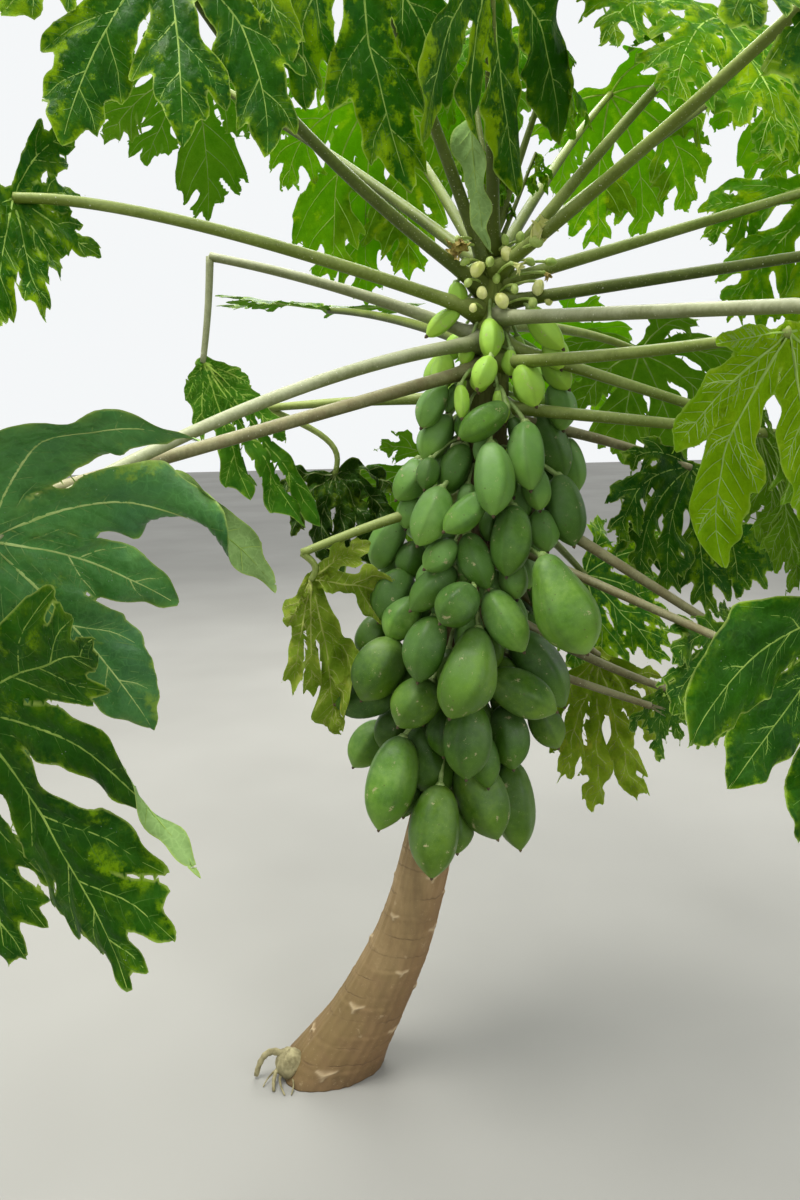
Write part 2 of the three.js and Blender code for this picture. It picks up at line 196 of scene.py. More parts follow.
class Nodes:
    def __init__(self, name):
        self.mat = bpy.data.materials.new(name)
        self.mat.use_nodes = True
        self.t = self.mat.node_tree
        self.t.nodes.clear()
        self.out = self.new("ShaderNodeOutputMaterial")
        self.bsdf = self.new("ShaderNodeBsdfPrincipled")
        self.link(self.bsdf.outputs[0], self.out.inputs[0])
        self.coord = self.new("ShaderNodeTexCoord")

    def new(self, kind, **kw):
        n = self.t.nodes.new(kind)
        for k, v in kw.items():
            setattr(n, k, v)
        return n

    def link(self, a, b):
        self.t.links.new(a, b)

    def noise(self, scale, detail=3, rough=0.55, stretch=(1, 1, 1), distort=0.0, vec=None):
        m = self.new("ShaderNodeMapping")
        m.inputs["Scale"].default_value = stretch
        self.link(vec or self.coord.outputs["Object"], m.inputs["Vector"])
        n = self.new("ShaderNodeTexNoise")
        n.inputs["Scale"].default_value = scale
        n.inputs["Detail"].default_value = detail
        n.inputs["Roughness"].default_value = rough
        n.inputs["Distortion"].default_value = distort
        self.link(m.outputs[0], n.inputs["Vector"])
        return n.outputs["Fac"]

    def voronoi(self, scale, feature="F1", stretch=(1, 1, 1), rand=1.0):
        m = self.new("ShaderNodeMapping")
        m.inputs["Scale"].default_value = stretch
        self.link(self.coord.outputs["Object"], m.inputs["Vector"])
        n = self.new("ShaderNodeTexVoronoi", feature=feature)
        n.inputs["Scale"].default_value = scale
        n.inputs["Randomness"].default_value = rand
        self.link(m.outputs[0], n.inputs["Vector"])
        return n.outputs["Distance"]

    def ramp(self, fac, stops):
        n = self.new("ShaderNodeValToRGB")
        e = n.color_ramp.elements
        while len(e) > 1:
            e.remove(e[-1])
        e[0].position, e[0].color = stops[0][0], (*stops[0][1], 1)
        for pos, col in stops[1:]:
            x = e.new(pos)
            x.color = (*col, 1)
        self.link(fac, n.inputs[0])
        return n.outputs[0]

    def value(self, fac, lo, hi, a=0.0, b=1.0):
        n = self.new("ShaderNodeMapRange")
        n.inputs["From Min"].default_value = lo
        n.inputs["From Max"].default_value = hi
        n.inputs["To Min"].default_value = a
        n.inputs["To Max"].default_value = b
        self.link(fac, n.inputs["Value"])
        return n.outputs[0]

    def mix(self, fac, a, b, blend="MIX"):
        n = self.new("ShaderNodeMix", data_type="RGBA", blend_type=blend)
        if isinstance(fac, (int, float)):
            n.inputs[0].default_value = fac
        else:
            self.link(fac, n.inputs[0])
        for s, x in ((6, a), (7, b)):
            if isinstance(x, (tuple, list)):
                n.inputs[s].default_value = (*x, 1)
            else:
                self.link(x, n.inputs[s])
        return n.outputs[2]

    def maths(self, op, a, b=0.0):
        n = self.new("ShaderNodeMath", operation=op)
        for s, x in ((0, a), (1, b)):
            if isinstance(x, (int, float)):
                n.inputs[s].default_value = x
            else:
                self.link(x, n.inputs[s])
        return n.outputs[0]

    def attr(self, name):
        n = self.new("ShaderNodeAttribute", attribute_name=name)
        return n.outputs["Fac"]

    def bump(self, height, strength, distance, normal=None):
        n = self.new("ShaderNodeBump")
        n.inputs["Strength"].default_value = strength
        n.inputs["Distance"].default_value = distance
        self.link(height, n.inputs["Height"])
        if normal is not None:
            self.link(normal, n.inputs["Normal"])
        return n.outputs[0]

    def finish(self, colour, rough=0.5, normal=None, specular=0.5, coat=0.0, coat_rough=0.2, through=None, through_share=0.3, sheen=0.0):
        b = self.bsdf
        if isinstance(colour, (tuple, list)):
            b.inputs["Base Color"].default_value = (*colour, 1)
        else:
            self.link(colour, b.inputs["Base Color"])
        if isinstance(rough, (int, float)):
            b.inputs["Roughness"].default_value = rough
        else:
            self.link(rough, b.inputs["Roughness"])
        if normal is not None:
            self.link(normal, b.inputs["Normal"])
        b.inputs["Specular IOR Level"].default_value = specular
        b.inputs["Coat Weight"].default_value = coat
        b.inputs["Coat Roughness"].default_value = coat_rough
        b.inputs["Sheen Weight"].default_value = sheen
        if through is not None:
            tr = self.new("ShaderNodeBsdfTranslucent")
            if isinstance(through, (tuple, list)):
                tr.inputs[0].default_value = (*through, 1)
            else:
                self.link(through, tr.inputs[0])
            mx = self.new("ShaderNodeMixShader")
            mx.inputs[0].default_value = through_share
            self.link(b.outputs[0], mx.inputs[1])
            self.link(tr.outputs[0], mx.inputs[2])
            self.link(mx.outputs[0], self.out.inputs[0])
        return self.mat


def srgb(r, g, b):
    def lin(c):
        c /= 255
        return c / 12.92 if c <= 0.04045 else ((c + 0.055) / 1.055) ** 2.4
    return (lin(r), lin(g), lin(b))


def leaf_material(name, dark, light, spot_colour=None, spots=0.0, rough=0.42, through=(0.2, 0.45, 0.05), share=0.3, bump=0.35, specular=0.2, margin=0.5, cool=None, rim=0.6, wet_glint=0.0):
    n = Nodes(name)
    big = n.noise(7.0, 3)
    fine = n.noise(55.0, 4)
    both = n.maths("ADD", n.maths("MULTIPLY", big, 0.65), n.maths("MULTIPLY", fine, 0.35))
    col = n.ramp(both, [(0.34, dark), (0.62, light)])
    if cool is not None:
        col = n.mix(n.value(n.noise(9.0, 3), 0.46, 0.64, 0, 0.8), col, cool)
    if spot_colour is not None and spots > 0:
        s = n.noise(34.0, 5, 0.7)
        s2 = n.noise(6.0, 2)
        f = n.maths("ADD", n.maths("MULTIPLY", s, 0.55), n.maths("MULTIPLY", s2, 0.45))
        f = n.maths("ADD", f, n.maths("MULTIPLY", n.attr("edge"), 0.10 * margin))
        m = n.value(f, 0.60 - 0.09 * spots, 0.66 - 0.08 * spots)
        away = n.value(n.attr("rib"), 0.0, 0.6, 0.9, 0.15)
        col = n.mix(n.maths("MULTIPLY", m, away), col, spot_colour)
        col = n.mix(n.maths("MULTIPLY", n.maths("MULTIPLY", n.attr("edge"), margin), n.value(s, 0.44, 0.58)), col, spot_colour)
    paler = tuple(min(1.0, c * 1.9 + 0.02) for c in light)
    # net of small veins, and a paler band along the ribs
    net = n.maths("MULTIPLY", n.value(n.voronoi(78.0, "DISTANCE_TO_EDGE"), 0.015, 0.085, 1.0, 0.0), n.value(n.noise(20.0, 2), 0.35, 0.65, 0.35, 1.0))
    col = n.mix(n.maths("MULTIPLY", net, 0.17), col, paler)
    col = n.mix(n.maths("MULTIPLY", n.attr("rib"), 0.28), col, paler)
    # thin light line round the margin
    col = n.mix(n.value(n.attr("edge"), 0.74, 0.96, 0, rim), col, srgb(168, 190, 92))
    # water drops as pale specks: the drops are real, their paleness is painted glint
    if wet_glint:
        drop = n.maths("MULTIPLY", n.value(n.voronoi(120.0), 0.05, 0.08, 1.0, 0.0), n.value(n.noise(12.0, 2), 0.5, 0.6))
        col = n.mix(n.maths("MULTIPLY", drop, wet_glint), col, srgb(206, 218, 204))
    h = n.maths("ADD", n.noise(150.0, 3, 0.65), n.maths("MULTIPLY", n.noise(62.0, 2, 0.4), 1.6))
    nor = n.bump(h, 1.2 * bump, 0.0022)
    r = n.value(n.noise(30.0, 3), 0.3, 0.7, rough - 0.08, rough + 0.12)
    return n.finish(col, r, nor, specular=specular, through=through, through_share=share)


def plain_material(name, a, b, scale=60.0, rough=0.5, bump=0.2, stretch=(1, 1, 1), **kw):
    n = Nodes(name)
    col = n.ramp(n.noise(scale, 3, stretch=stretch), [(0.35, a), (0.65, b)])
    nor = n.bump(n.noise(scale * 4, 3, stretch=stretch), bump, 0.001)
    return n.finish(col, rough, nor, **kw)


M = {}
# upper side, under side, upper vein, lower vein, in four moods
M["top_dark"] = leaf_material("leaf_top_dark", srgb(20, 58, 0), srgb(40, 90, 0), srgb(112, 150, 4), 0.45, 0.40, srgb(60, 130, 0), 0.18, specular=0.07, cool=srgb(20, 62, 8), wet_glint=0.5, margin=0.7)
# sheen set: the top has real gloss from its higher specular, and its lighter, bluer base colour and bluish patches are
# painted sky reflection
M["top_painted_sheen"] = leaf_material("leaf_top_sheen", srgb(42, 98, 28), srgb(76, 134, 60), srgb(120, 156, 40), 0.2, 0.42, srgb(60, 130, 0), 0.15, specular=0.45, cool=srgb(44, 100, 56), wet_glint=0.6)
M["under_dark"] = leaf_material("leaf_under_dark", srgb(112, 146, 76), srgb(142, 172, 104), None, 0, 0.6, srgb(90, 150, 10), 0.15, 0.4, specular=0.06)
M["top_mid"] = leaf_material("leaf_top_mid", srgb(18, 58, 0), srgb(40, 88, 0), srgb(132, 166, 0), 0.72, 0.42, srgb(100, 170, 0), 0.24, specular=0.06, margin=0.9, cool=srgb(22, 66, 14), wet_glint=0.5)
M["under_mid"] = leaf_material("leaf_under_mid", srgb(76, 122, 10), srgb(112, 154, 28), None, 0, 0.6, srgb(120, 185, 0), 0.38, 0.6, specular=0.04)
# lit set: a lighter copy of the mid set, with painted light for leaves lit from behind
M["top_lit"] = leaf_material("leaf_top_lit", srgb(36, 86, 0), srgb(72, 124, 0), srgb(154, 182, 0), 0.7, 0.44, srgb(140, 200, 0), 0.46, specular=0.05, margin=1.0)
M["under_lit"] = leaf_material("leaf_under_lit", srgb(56, 104, 0), srgb(108, 154, 10), srgb(170, 194, 20), 0.6, 0.6, srgb(145, 200, 0), 0.46, 0.6, specular=0.04)
M["top_pale"] = leaf_material("leaf_top_pale", srgb(84, 124, 0), srgb(116, 152, 14), srgb(160, 180, 40), 0.3, 0.45, srgb(140, 185, 0), 0.36, specular=0.05)
M["under_pale"] = leaf_material("leaf_under_pale", srgb(96, 138, 0), srgb(126, 162, 10), srgb(156, 180, 30), 0.3, 0.6, srgb(150, 200, 0), 0.40, 0.8, specular=0.04)
M["top_fresh"] = leaf_material("leaf_top_fresh", srgb(36, 84, 4), srgb(68, 118, 22), srgb(120, 158, 30), 0.2, 0.42, srgb(110, 170, 0), 0.3, specular=0.06, margin=0.4, cool=srgb(34, 82, 20))
M["top_wilt"] = leaf_material("leaf_top_wilt", srgb(16, 40, 0), srgb(38, 68, 4), srgb(80, 102, 14), 0.4, 0.55, srgb(70, 110, 0), 0.2, 0.8, specular=0.05)
M["under_wilt"] = leaf_material("leaf_under_wilt", srgb(34, 62, 4), srgb(58, 88, 16), None, 0, 0.7, srgb(90, 130, 0), 0.25, 0.8, specular=0.04)
M["top_old"] = leaf_material("leaf_top_old", srgb(94, 122, 14), srgb(134, 156, 38), srgb(170, 174, 56), 0.4, 0.6, srgb(140, 180, 0), 0.38, 0.8, specular=0.04)
M["under_old"] = leaf_material("leaf_under_old", srgb(100, 128, 26), srgb(138, 160, 52), srgb(174, 176, 72), 0.35, 0.7, srgb(145, 180, 4), 0.38, 0.9, specular=0.04)
M["vein_dark"] = plain_material("vein_dark", srgb(108, 142, 46), srgb(146, 174, 76), 40, 0.55, specular=0.2)
M["vein_sheen"] = plain_material("vein_sheen", srgb(150, 178, 96), srgb(180, 202, 124), 40, 0.55, specular=0.2)
M["vein_lit"] = plain_material("vein_lit", srgb(128, 164, 48), srgb(160, 188, 80), 40, 0.55, specular=0.2)
M["vein_under"] = plain_material("vein_under", srgb(130, 162, 70), srgb(156, 184, 96), 40, 0.6, specular=0.15)
M["vein_dry"] = plain_material("vein_dry", srgb(144, 156, 62), srgb(172, 182, 88), 40, 0.7)
M["vein_fine_dark"] = plain_material("vein_fine_dark", srgb(56, 100, 18), srgb(84, 126, 34), 40, 0.55, specular=0.2)
M["vein_fine_sheen"] = plain_material("vein_fine_sheen", srgb(92, 134, 62), srgb(122, 160, 88), 40, 0.55, specular=0.2)
M["vein_fine_lit"] = plain_material("vein_fine_lit", srgb(96, 142, 28), srgb(124, 164, 48), 40, 0.55, specular=0.2)
M["vein_fine_dry"] = plain_material("vein_fine_dry", srgb(104, 124, 34), srgb(134, 150, 52), 40, 0.7)
M["vein_wilt"] = plain_material("vein_wilt", srgb(84, 102, 40), srgb(112, 128, 58), 40, 0.6)
M["vein_fine_wilt"] = plain_material("vein_fine_wilt", srgb(40, 66, 14), srgb(62, 88, 26), 40, 0.6)
# sets of materials per leaf: "lit" is a lighter copy of "mid" with painted light for leaves lit from behind, and the
# top of "sheen" carries painted sky reflection
MOODS = {
    "dark": ("top_dark", "under_dark", "vein_dark", "vein_under", "vein_fine_dark"),
    "sheen": ("top_painted_sheen", "under_dark", "vein_sheen", "vein_under", "vein_fine_sheen"),
    "mid": ("top_mid", "under_mid", "vein_dark", "vein_under", "vein_fine_dark"),
    "turned": ("top_mid", "under_dark", "vein_dark", "vein_under", "vein_fine_dark"),
    "fresh": ("top_fresh", "under_mid", "vein_lit", "vein_under", "vein_fine_lit"),
    "lit": ("top_lit", "under_lit", "vein_lit", "vein_lit", "vein_fine_lit"),
    "pale": ("top_pale", "under_pale", "vein_lit", "vein_under", "vein_fine_lit"),
    "wilt": ("top_wilt", "under_wilt", "vein_wilt", "vein_wilt", "vein_fine_wilt"),
    "old": ("top_old", "under_old", "vein_dry", "vein_dry", "vein_fine_dry"),
}


def stalk_material(name, low, high, old=0.0):
    n = Nodes(name)
    long = n.noise(14.0, 4, stretch=(1, 1, 1))
    fine = n.noise(140.0, 3)
    # painted light and shade: the top of the stalk is lighter, the underside darker
    up = n.value(n.attr("edge"), -0.75, 0.75)
    f = n.maths("ADD", n.maths("MULTIPLY", long, 0.5), n.maths("MULTIPLY", fine, 0.25))
    col = n.ramp(n.maths("ADD", f, n.maths("MULTIPLY", up, 0.35)), [(0.40, low), (0.72, high)])
    pores = n.value(n.voronoi(170.0), 0.10, 0.2, 1.0, 0.0)
    warts = n.value(n.voronoi(62.0), 0.05, 0.085, 1.0, 0.0)
    col = n.mix(n.maths("MULTIPLY", pores, 0.35), col, srgb(190, 194, 150))
    if old:
        col = n.mix(n.value(n.noise(30.0, 4), 0.45, 0.62, 0, old), col, srgb(116, 96, 62))
    col = n.mix(n.maths("MULTIPLY", warts, 0.8), col, srgb(206, 208, 184))
    nor = n.bump(n.maths("ADD", n.maths("ADD", n.noise(260.0, 3), pores), n.maths("MULTIPLY", warts, 2.0)), 0.35, 0.0007)
    return n.finish(col, n.value(fine, 0.3, 0.7, 0.42, 0.62), nor, specular=0.35, coat=0.05, coat_rough=0.3)


M["stalk"] = stalk_material("stalk_green", srgb(98, 114, 32), srgb(152, 166, 90))
M["stalk_pale"] = stalk_material("stalk_pale", srgb(112, 118, 72), srgb(166, 170, 134))
M["stalk_deep"] = stalk_material("stalk_deep", srgb(70, 84, 16), srgb(116, 130, 56))
M["stalk_old"] = stalk_material("stalk_old", srgb(90, 88, 48), srgb(156, 152, 112), 0.3)

# ---------------------------------------------------------------- trunk axis
TRUNK = np.array([
    [-12, 0, 0, 96], [6, 0, 32, 87], [78, 0, 135, 76], [156, 0, 293, 63], [194, 0, 403, 57.5], [245, 0, 614, 52],
    [271, 0, 757, 50], [324, 0, 1087, 47], [346, 0, 1295, 45], [362, 0, 1495, 42], [369, 0, 1611, 37], [372, 0, 1725, 28], [379, 0, 1810, 14],
], float) / 1000


def trunk_at(z):
    return np.array([np.interp(z, TRUNK[:, 2], TRUNK[:, 0]), 0.0, z])


def trunk_radius(z):
    return np.interp(z, TRUNK[:, 2], TRUNK[:, 3])


def smooth_axis():
    """The axis and radius rounded off between their rows."""
    z = np.linspace(0, TRUNK[-1, 2], 700)
    out = []
    for col in (0, 3):
        y = np.interp(z, TRUNK[:, 2], TRUNK[:, col])
        k = np.exp(-0.5 * (np.arange(-40, 41) / 16.0) ** 2)
        k /= k.sum()
        pad = np.concatenate([2 * y[0] - y[40:0:-1], y, 2 * y[-1] - y[-2:-42:-1]])
        out.append(np.convolve(pad, k, "valid"))
    return z, out[0], out[1]


AX_Z, AX_X, AX_R = smooth_axis()

# ---------------------------------------------------------------- leaves
LOBES = [(-130, 0.62), (-84, 0.84), (-42, 0.96), (0, 1.0), (42, 0.96), (84, 0.84), (130, 0.62)]
STALK_FOOT, STALK_END, STALK_SEAT = 0.0135, 0.008, 0.8

# foot height, azimuth, elevation, stalk length, arch, where it bends, blade radius, facing, tilt, spin, droop, fan
LEAVES = {
    "leaf_left_1": [1664, -155.8, 10.1, 842, 0.035, 0.75, 338, -135.2, 68.4, 48.7, 0.48, 1],
    "leaf_left_2": [1620, -176.3, 16.8, 534, 0.025, 0.5, 348, -76, 70, 27, 0.4, 0.55],
    "leaf_left_3": [1605, -132.2, -15.7, 1038, 0.04, 0.52, 366, -54.8, 114.1, 81.5, 0.54, 1],
    "leaf_left_4": [1556, -136.1, -24.2, 1115, 0.103, 0.93, 391, -106.1, 94.2, 46.6, 0.5, 1],
    "leaf_left_5": [1500, 159.5, -0.8, 468, 0.01, 0.5, 290, -70, 88, 0, 0.8, 0.4],
    "leaf_left_6": [1300, -169.9, -16.2, 346, 0.02, 0.5, 360, -80, 88, 0, 0.9, 0.26],
    "leaf_upper_1": [1712, -155, 40.5, 754, -0.08, 0.75, 367, -76.7, 76.4, 3.9, 0.82, 1],
    "leaf_upper_2": [1750, -143, 61.1, 582, 0.015, 0.61, 378, -76.2, 100.7, 2.7, 0.61, 1],
    "leaf_upper_3": [1780, -97, 47.9, 484, 0, 0.6, 400, -28.8, 113.4, 44.7, 0.58, 1],
    "leaf_right_1": [1740, -63, 17, 777, -0.01, 0.5, 380, -63, 50, 0, 0.9, 1],
    "leaf_right_2": [1740, -20.4, 44.9, 540, 0.02, 0.5, 380, -60, 45, -20, 0.9, 1],
    "leaf_right_3": [1720, -6.8, 13.8, 645, 0, 0.5, 340, -125, 74, -4, 0.65, 1],
    "leaf_right_4": [1680, -31.6, 2.8, 687, 0, 0.5, 360, -32, 45, 0, 0.8, 1],
    "leaf_right_5": [1650, -64.2, -27.3, 944, 0.18, 0.95, 339, -69.2, 98, -51.7, 0.47, 1],
    "leaf_right_6": [1566, -55.1, -0, 616, -0.011, 0.53, 367, 139.9, 86.7, 23.3, 0.42, 1],
    "leaf_right_7": [1640, 48.3, -2.4, 608, 0.03, 0.5, 370, 48, 55, -10, 0.9, 1],
    "leaf_right_8": [1600, -14, -19.4, 501, 0, 0.5, 350, -14, 70, 0, 0.9, 1],
    "leaf_right_9": [1480, -20.2, -7, 635, 0, 0.5, 350, -20, 55, 0, 0.9, 1],
    "leaf_right_10": [1460, 14.3, -15, 449, 0.02, 0.5, 330, -70, 80, -20, 0.6, 1],
    "leaf_right_11": [1320, -17.1, -32.2, 566, 0, 0.5, 320, -60, 75, -10, 0.9, 1],
    "leaf_right_13": [1080, 9.5, -28.2, 461, -0.03, 0.5, 280, -60, 80, 40, 0.5, 0.9],
    "leaf_right_15": [1160, 36.5, -36.3, 440, 0, 0.5, 380, -80, 88, 0, 0.8, 0.4],
    "frond_back_1": [1740, 109.3, 38.7, 862, 0.02, 0.5, 400, 109, 45, 0, 0.9, 1],
    "frond_back_2": [1760, 90.6, 38, 1106, 0.02, 0.5, 380, 91, 40, 0, 0.9, 1],
    "frond_back_3": [1760, 61.5, 33.7, 943, 0.02, 0.5, 410, 62, 40, -20, 0.9, 1],
    "frond_back_4": [1660, 74.3, 3.4, 911, 0.02, 0.5, 380, 74, 50, 0, 0.9, 1],
    "frond_back_5": [1320, 56.1, -26.8, 590, 0.02, 0.5, 340, -60, 75, 40, 0.6, 0.9],
    "frond_back_6": [1600, 118, 12, 760, 0.02, 0.5, 380, 118, 50, 0, 0.9, 1],
    "frond_back_7": [1450, 95, -10, 640, 0.02, 0.5, 350, 95, 60, 0, 0.9, 1],
    "frond_back_8": [1750, 140, 33, 1050, 0.02, 0.5, 390, 140, 45, 0, 0.9, 1],
    "frond_back_9": [1750, 28, 33, 950, 0.02, 0.5, 390, 28, 45, 0, 0.9, 1],
}
STUBS = {
    "stalk_right_12": [1220, -34.5, -19, 517, 0, 0.5],
    "stalk_right_14": [980, 2.5, -20.8, 395, 0, 0.5],
}
KINKS = {"leaf_left_2": (0.195, -0.026), "leaf_left_5": (0.150, 0.145), "leaf_left_6": (0.055, 0.015)}
# single lobes that differ from the rest of their leaf: lobe: (droop, sway, share of length, roll of its tip)
TUNE = {
    "leaf_left_3": {1: (0.55, 0.18, 1.01, 0), 2: (0.48, 0.04, 1.05, 0), 3: (0.60, 0.08, 0.70, 0), 4: (0.61, -0.20, 1.10, 2.2), 5: (0.49, -0.38, 1.05, -0.5)},
    "leaf_left_4": {2: (0.47, 0.01, 0.96, 0), 3: (0.51, 0.06, 1.07, 0), 4: (0.45, -0.17, 1.05, 2.2), 5: (0.55, 0.20, 0.97, 0)},
    "leaf_upper_1": {2: (0.74, -0.08, 1.10, 0), 3: (0.77, -0.05, 0.93, 0), 4: (0.88, -0.19, 1.06, 0), 5: (1.36, -0.18, 0.93, 0)},
    "leaf_upper_2": {2: (0.83, 0.37, 0.84, 0), 3: (0.48, 0.13, 1.12, 0), 4: (0.65, -0.11, 0.87, 0)},
    "leaf_upper_3": {2: (0.79, 0.31, 1.12, -1.25), 3: (0.50, -0.04, 0.91, 0), 4: (0.55, -0.25, 0.97, 0)},
    "leaf_right_5": {2: (0.52, 0.10, 1.02, 0), 3: (0.48, -0.19, 0.88, 0), 4: (0.38, -0.25, 0.94, 0)},
    "leaf_right_6": {3: (0.3, -0.38, 1.0, 0), 4: (0.3, -0.12, 1.0, 0)},
}
ROLL_AT = {"leaf_upper_3": 0.40, "leaf_left_3": 0.55, "leaf_left_4": 0.66}  # where along a lobe its roll starts
SLANT = {"leaf_left_3": -1.0, "leaf_left_4": 1.0}  # by how much one margin turns over before the other
# share by which the lobes of a leaf are turned to the front
TURN = {"leaf_right_5": 0.3, "leaf_right_10": 0.5, "leaf_right_11": 0.4, "leaf_right_3": 0.4, "leaf_right_2": 0.4, "leaf_right_4": 0.3, "leaf_right_8": 0.4,
        "frond_back_1": 0.6, "frond_back_2": 0.6, "frond_back_3": 0.35, "frond_back_4": 0.6, "frond_back_5": 0.5, "frond_back_7": 0.5, "frond_back_8": 0.4, "frond_back_9": 0.5}
# leaves with lobes of their own: (lobe angle, share of length), face, tilt, spin, droop
SHAPE = {
    "leaf_left_2": ([(-30, 0.24), (-6, 0.44), (12, 0.80), (27, 1.12), (37, 1.13), (47, 0.66), (64, 0.3)], -62, 84, 0, 0.35),
    "frond_back_6": ([(-130, 0.62), (-84, 0.84), (-42, 0.96), (0, 0.9), (42, 0.9), (84, 0.84), (130, 0.62)], 118, -6, 0, 0.1),
    "leaf_left_1": ([(-105, 0.6), (-66, 0.8), (-32, 0.7), (-6, 0.60), (26, 0.40), (64, 0.48), (108, 0.42), (150, 0.58)], -30, 80, 0, 0.6),
    "leaf_left_5": ([(-112, 0.55), (-74, 0.66), (-40, 0.74), (-10, 0.78), (22, 0.84), (56, 0.78), (100, 0.62)], -70, 62, 10, 1.5),
    "leaf_left_6": ([(-128, 0.42), (-84, 0.60), (-14, 1.0), (2, 0.72), (13, 0.66), (27, 0.34)], 98, 88, 0, 0.5),
    "leaf_right_5": ([(-130, 0.3), (-84, 0.60), (-42, 0.96), (0, 1.0), (42, 0.96), (84, 0.5), (130, 0.3)], -69.2, 98, -51.7, 0.47),
    "leaf_right_6": ([(-95, 0.5), (-60, 0.78), (-24, 0.86), (24, 1.0), (47, 0.64), (84, 0.3)], 105, 84, 0, 0.4),
    "leaf_right_10": ([(-104, 0.62), (-72, 0.85), (-44, 0.92), (-16, 0.95), (20, 1.0), (56, 0.95), (100, 0.6)], -70, 80, -20, 1.2),
    "leaf_right_8": ([(-110, 0.5), (-70, 0.7), (-34, 0.86), (0, 0.95), (38, 0.86), (74, 0.7), (112, 0.5)], -14, 72, 0, 1.3),
    "leaf_right_11": ([(-150, 0.35), (-112, 0.72), (-84, 0.85), (-56, 0.80), (-20, 0.72), (30, 0.66), (90, 0.55)], -60, 75, -10, 1.0),
    "leaf_right_13": ([(-110, 0.55), (-70, 0.60), (-30, 0.5), (20, 0.45), (60, 0.5), (100, 0.5)], -60, 80, 40, 0.8),
    "frond_back_1": ([(-120, 0.6), (-80, 0.85), (-42, 1.22), (-4, 1.35), (34, 1.22), (74, 0.9), (118, 0.7)], 109, 60, 0, 1.3),
    "frond_back_2": ([(-120, 0.6), (-80, 0.82), (-40, 0.96), (0, 1.0), (40, 0.96), (80, 0.82), (120, 0.6)], 91, 55, 0, 1.5),
    "frond_back_3": ([(-120, 0.6), (-80, 0.82), (-40, 0.96), (0, 1.0), (40, 0.96), (80, 0.82), (120, 0.6)], 62, 55, -20, 1.4),
    "frond_back_8": ([(-120, 0.45), (-84, 0.78), (-48, 1.1), (-6, 0.76), (36, 0.70), (80, 0.66), (120, 0.5)], 140, 35, 0, 0.8),
    "leaf_right_15": ([(-48, 0.6), (-24, 0.85), (-5, 1.0), (14, 0.95), (34, 0.75), (60, 0.55)], -80, 84, 0, 0.6),
}
# mood, how deep the lobes are cut, mesh size in metres, curl of each lobe, crumple, stalk colour
STYLE = {
    "leaf_left_1": ("mid", 0.5, 0.007, 1.2, 0, "stalk"),
    "leaf_left_2": ("fresh", 0.35, 0.006, 3.2, 0.35, "stalk_pale"),
    "leaf_left_3": ("sheen", 0.12, 0.0055, 1.2, 0, "stalk_pale"),
    "leaf_left_4": ("dark", 0.6, 0.0055, 1.4, 0, "stalk_old"),
    "leaf_left_5": ("wilt", 0.6, 0.006, 3.5, 1.3, "stalk"),
    "leaf_left_6": ("old", 0.7, 0.006, 6.0, 1.1, "stalk"),
    "leaf_upper_1": ("mid", 0.4, 0.006, 1.2, 0, "stalk_deep"),
    "leaf_upper_2": ("mid", 0.36, 0.006, 1.2, 0, "stalk_deep"),
    "leaf_upper_3": ("turned", 0.12, 0.006, 2.0, 0.1, "stalk_deep"),
    "leaf_right_1": ("mid", 0.7, 0.007, 1.2, 0, "stalk"),
    "leaf_right_2": ("lit", 1.0, 0.008, 1.2, 0, "stalk"),
    "leaf_right_3": ("lit", 1.0, 0.007, 1.2, 0, "stalk"),
    "leaf_right_4": ("mid", 1.0, 0.008, 1.2, 0, "stalk_deep"),
    "leaf_right_5": ("dark", 0.02, 0.0055, 1.2, 0, "stalk_pale"),
    "leaf_right_6": ("pale", 0.16, 0.006, 1.4, 0, "stalk"),
    "leaf_right_7": ("mid", 0.5, 0.008, 1.4, 0, "stalk"),
    "leaf_right_8": ("mid", 0.8, 0.008, 1.6, 0, "stalk"),
    "leaf_right_9": ("mid", 0.7, 0.009, 1.2, 0, "stalk"),
    "leaf_right_10": ("dark", 0.95, 0.007, 1.6, 0, "stalk_old"),
    "leaf_right_11": ("dark", 0.9, 0.007, 1.6, 0, "stalk_old"),
    "leaf_right_13": ("dark", 0.8, 0.007, 1.6, 0, "stalk_old"),
    "leaf_right_15": ("old", 0.7, 0.0065, 3.5, 0.9, "stalk_old"),
    "frond_back_1": ("lit", 0.9, 0.008, 1.2, 0, "stalk_deep"),
    "frond_back_2": ("mid", 0.9, 0.009, 1.2, 0, "stalk_deep"),
    "frond_back_3": ("lit", 0.9, 0.008, 1.2, 0, "stalk_deep"),
    "frond_back_4": ("lit", 0.9, 0.009, 1.2, 0, "stalk_deep"),
    "frond_back_5": ("mid", 0.9, 0.008, 1.4, 0, "stalk_deep"),
    "frond_back_6": ("mid", 0.8, 0.009, 1.2, 0, "stalk_deep"),
    "frond_back_7": ("mid", 0.8, 0.009, 1.2, 0, "stalk_deep"),
    "frond_back_8": ("mid", 0.8, 0.009, 1.2, 0, "stalk_deep"),
    "frond_back_9": ("lit", 0.8, 0.009, 1.2, 0, "stalk_deep"),
}


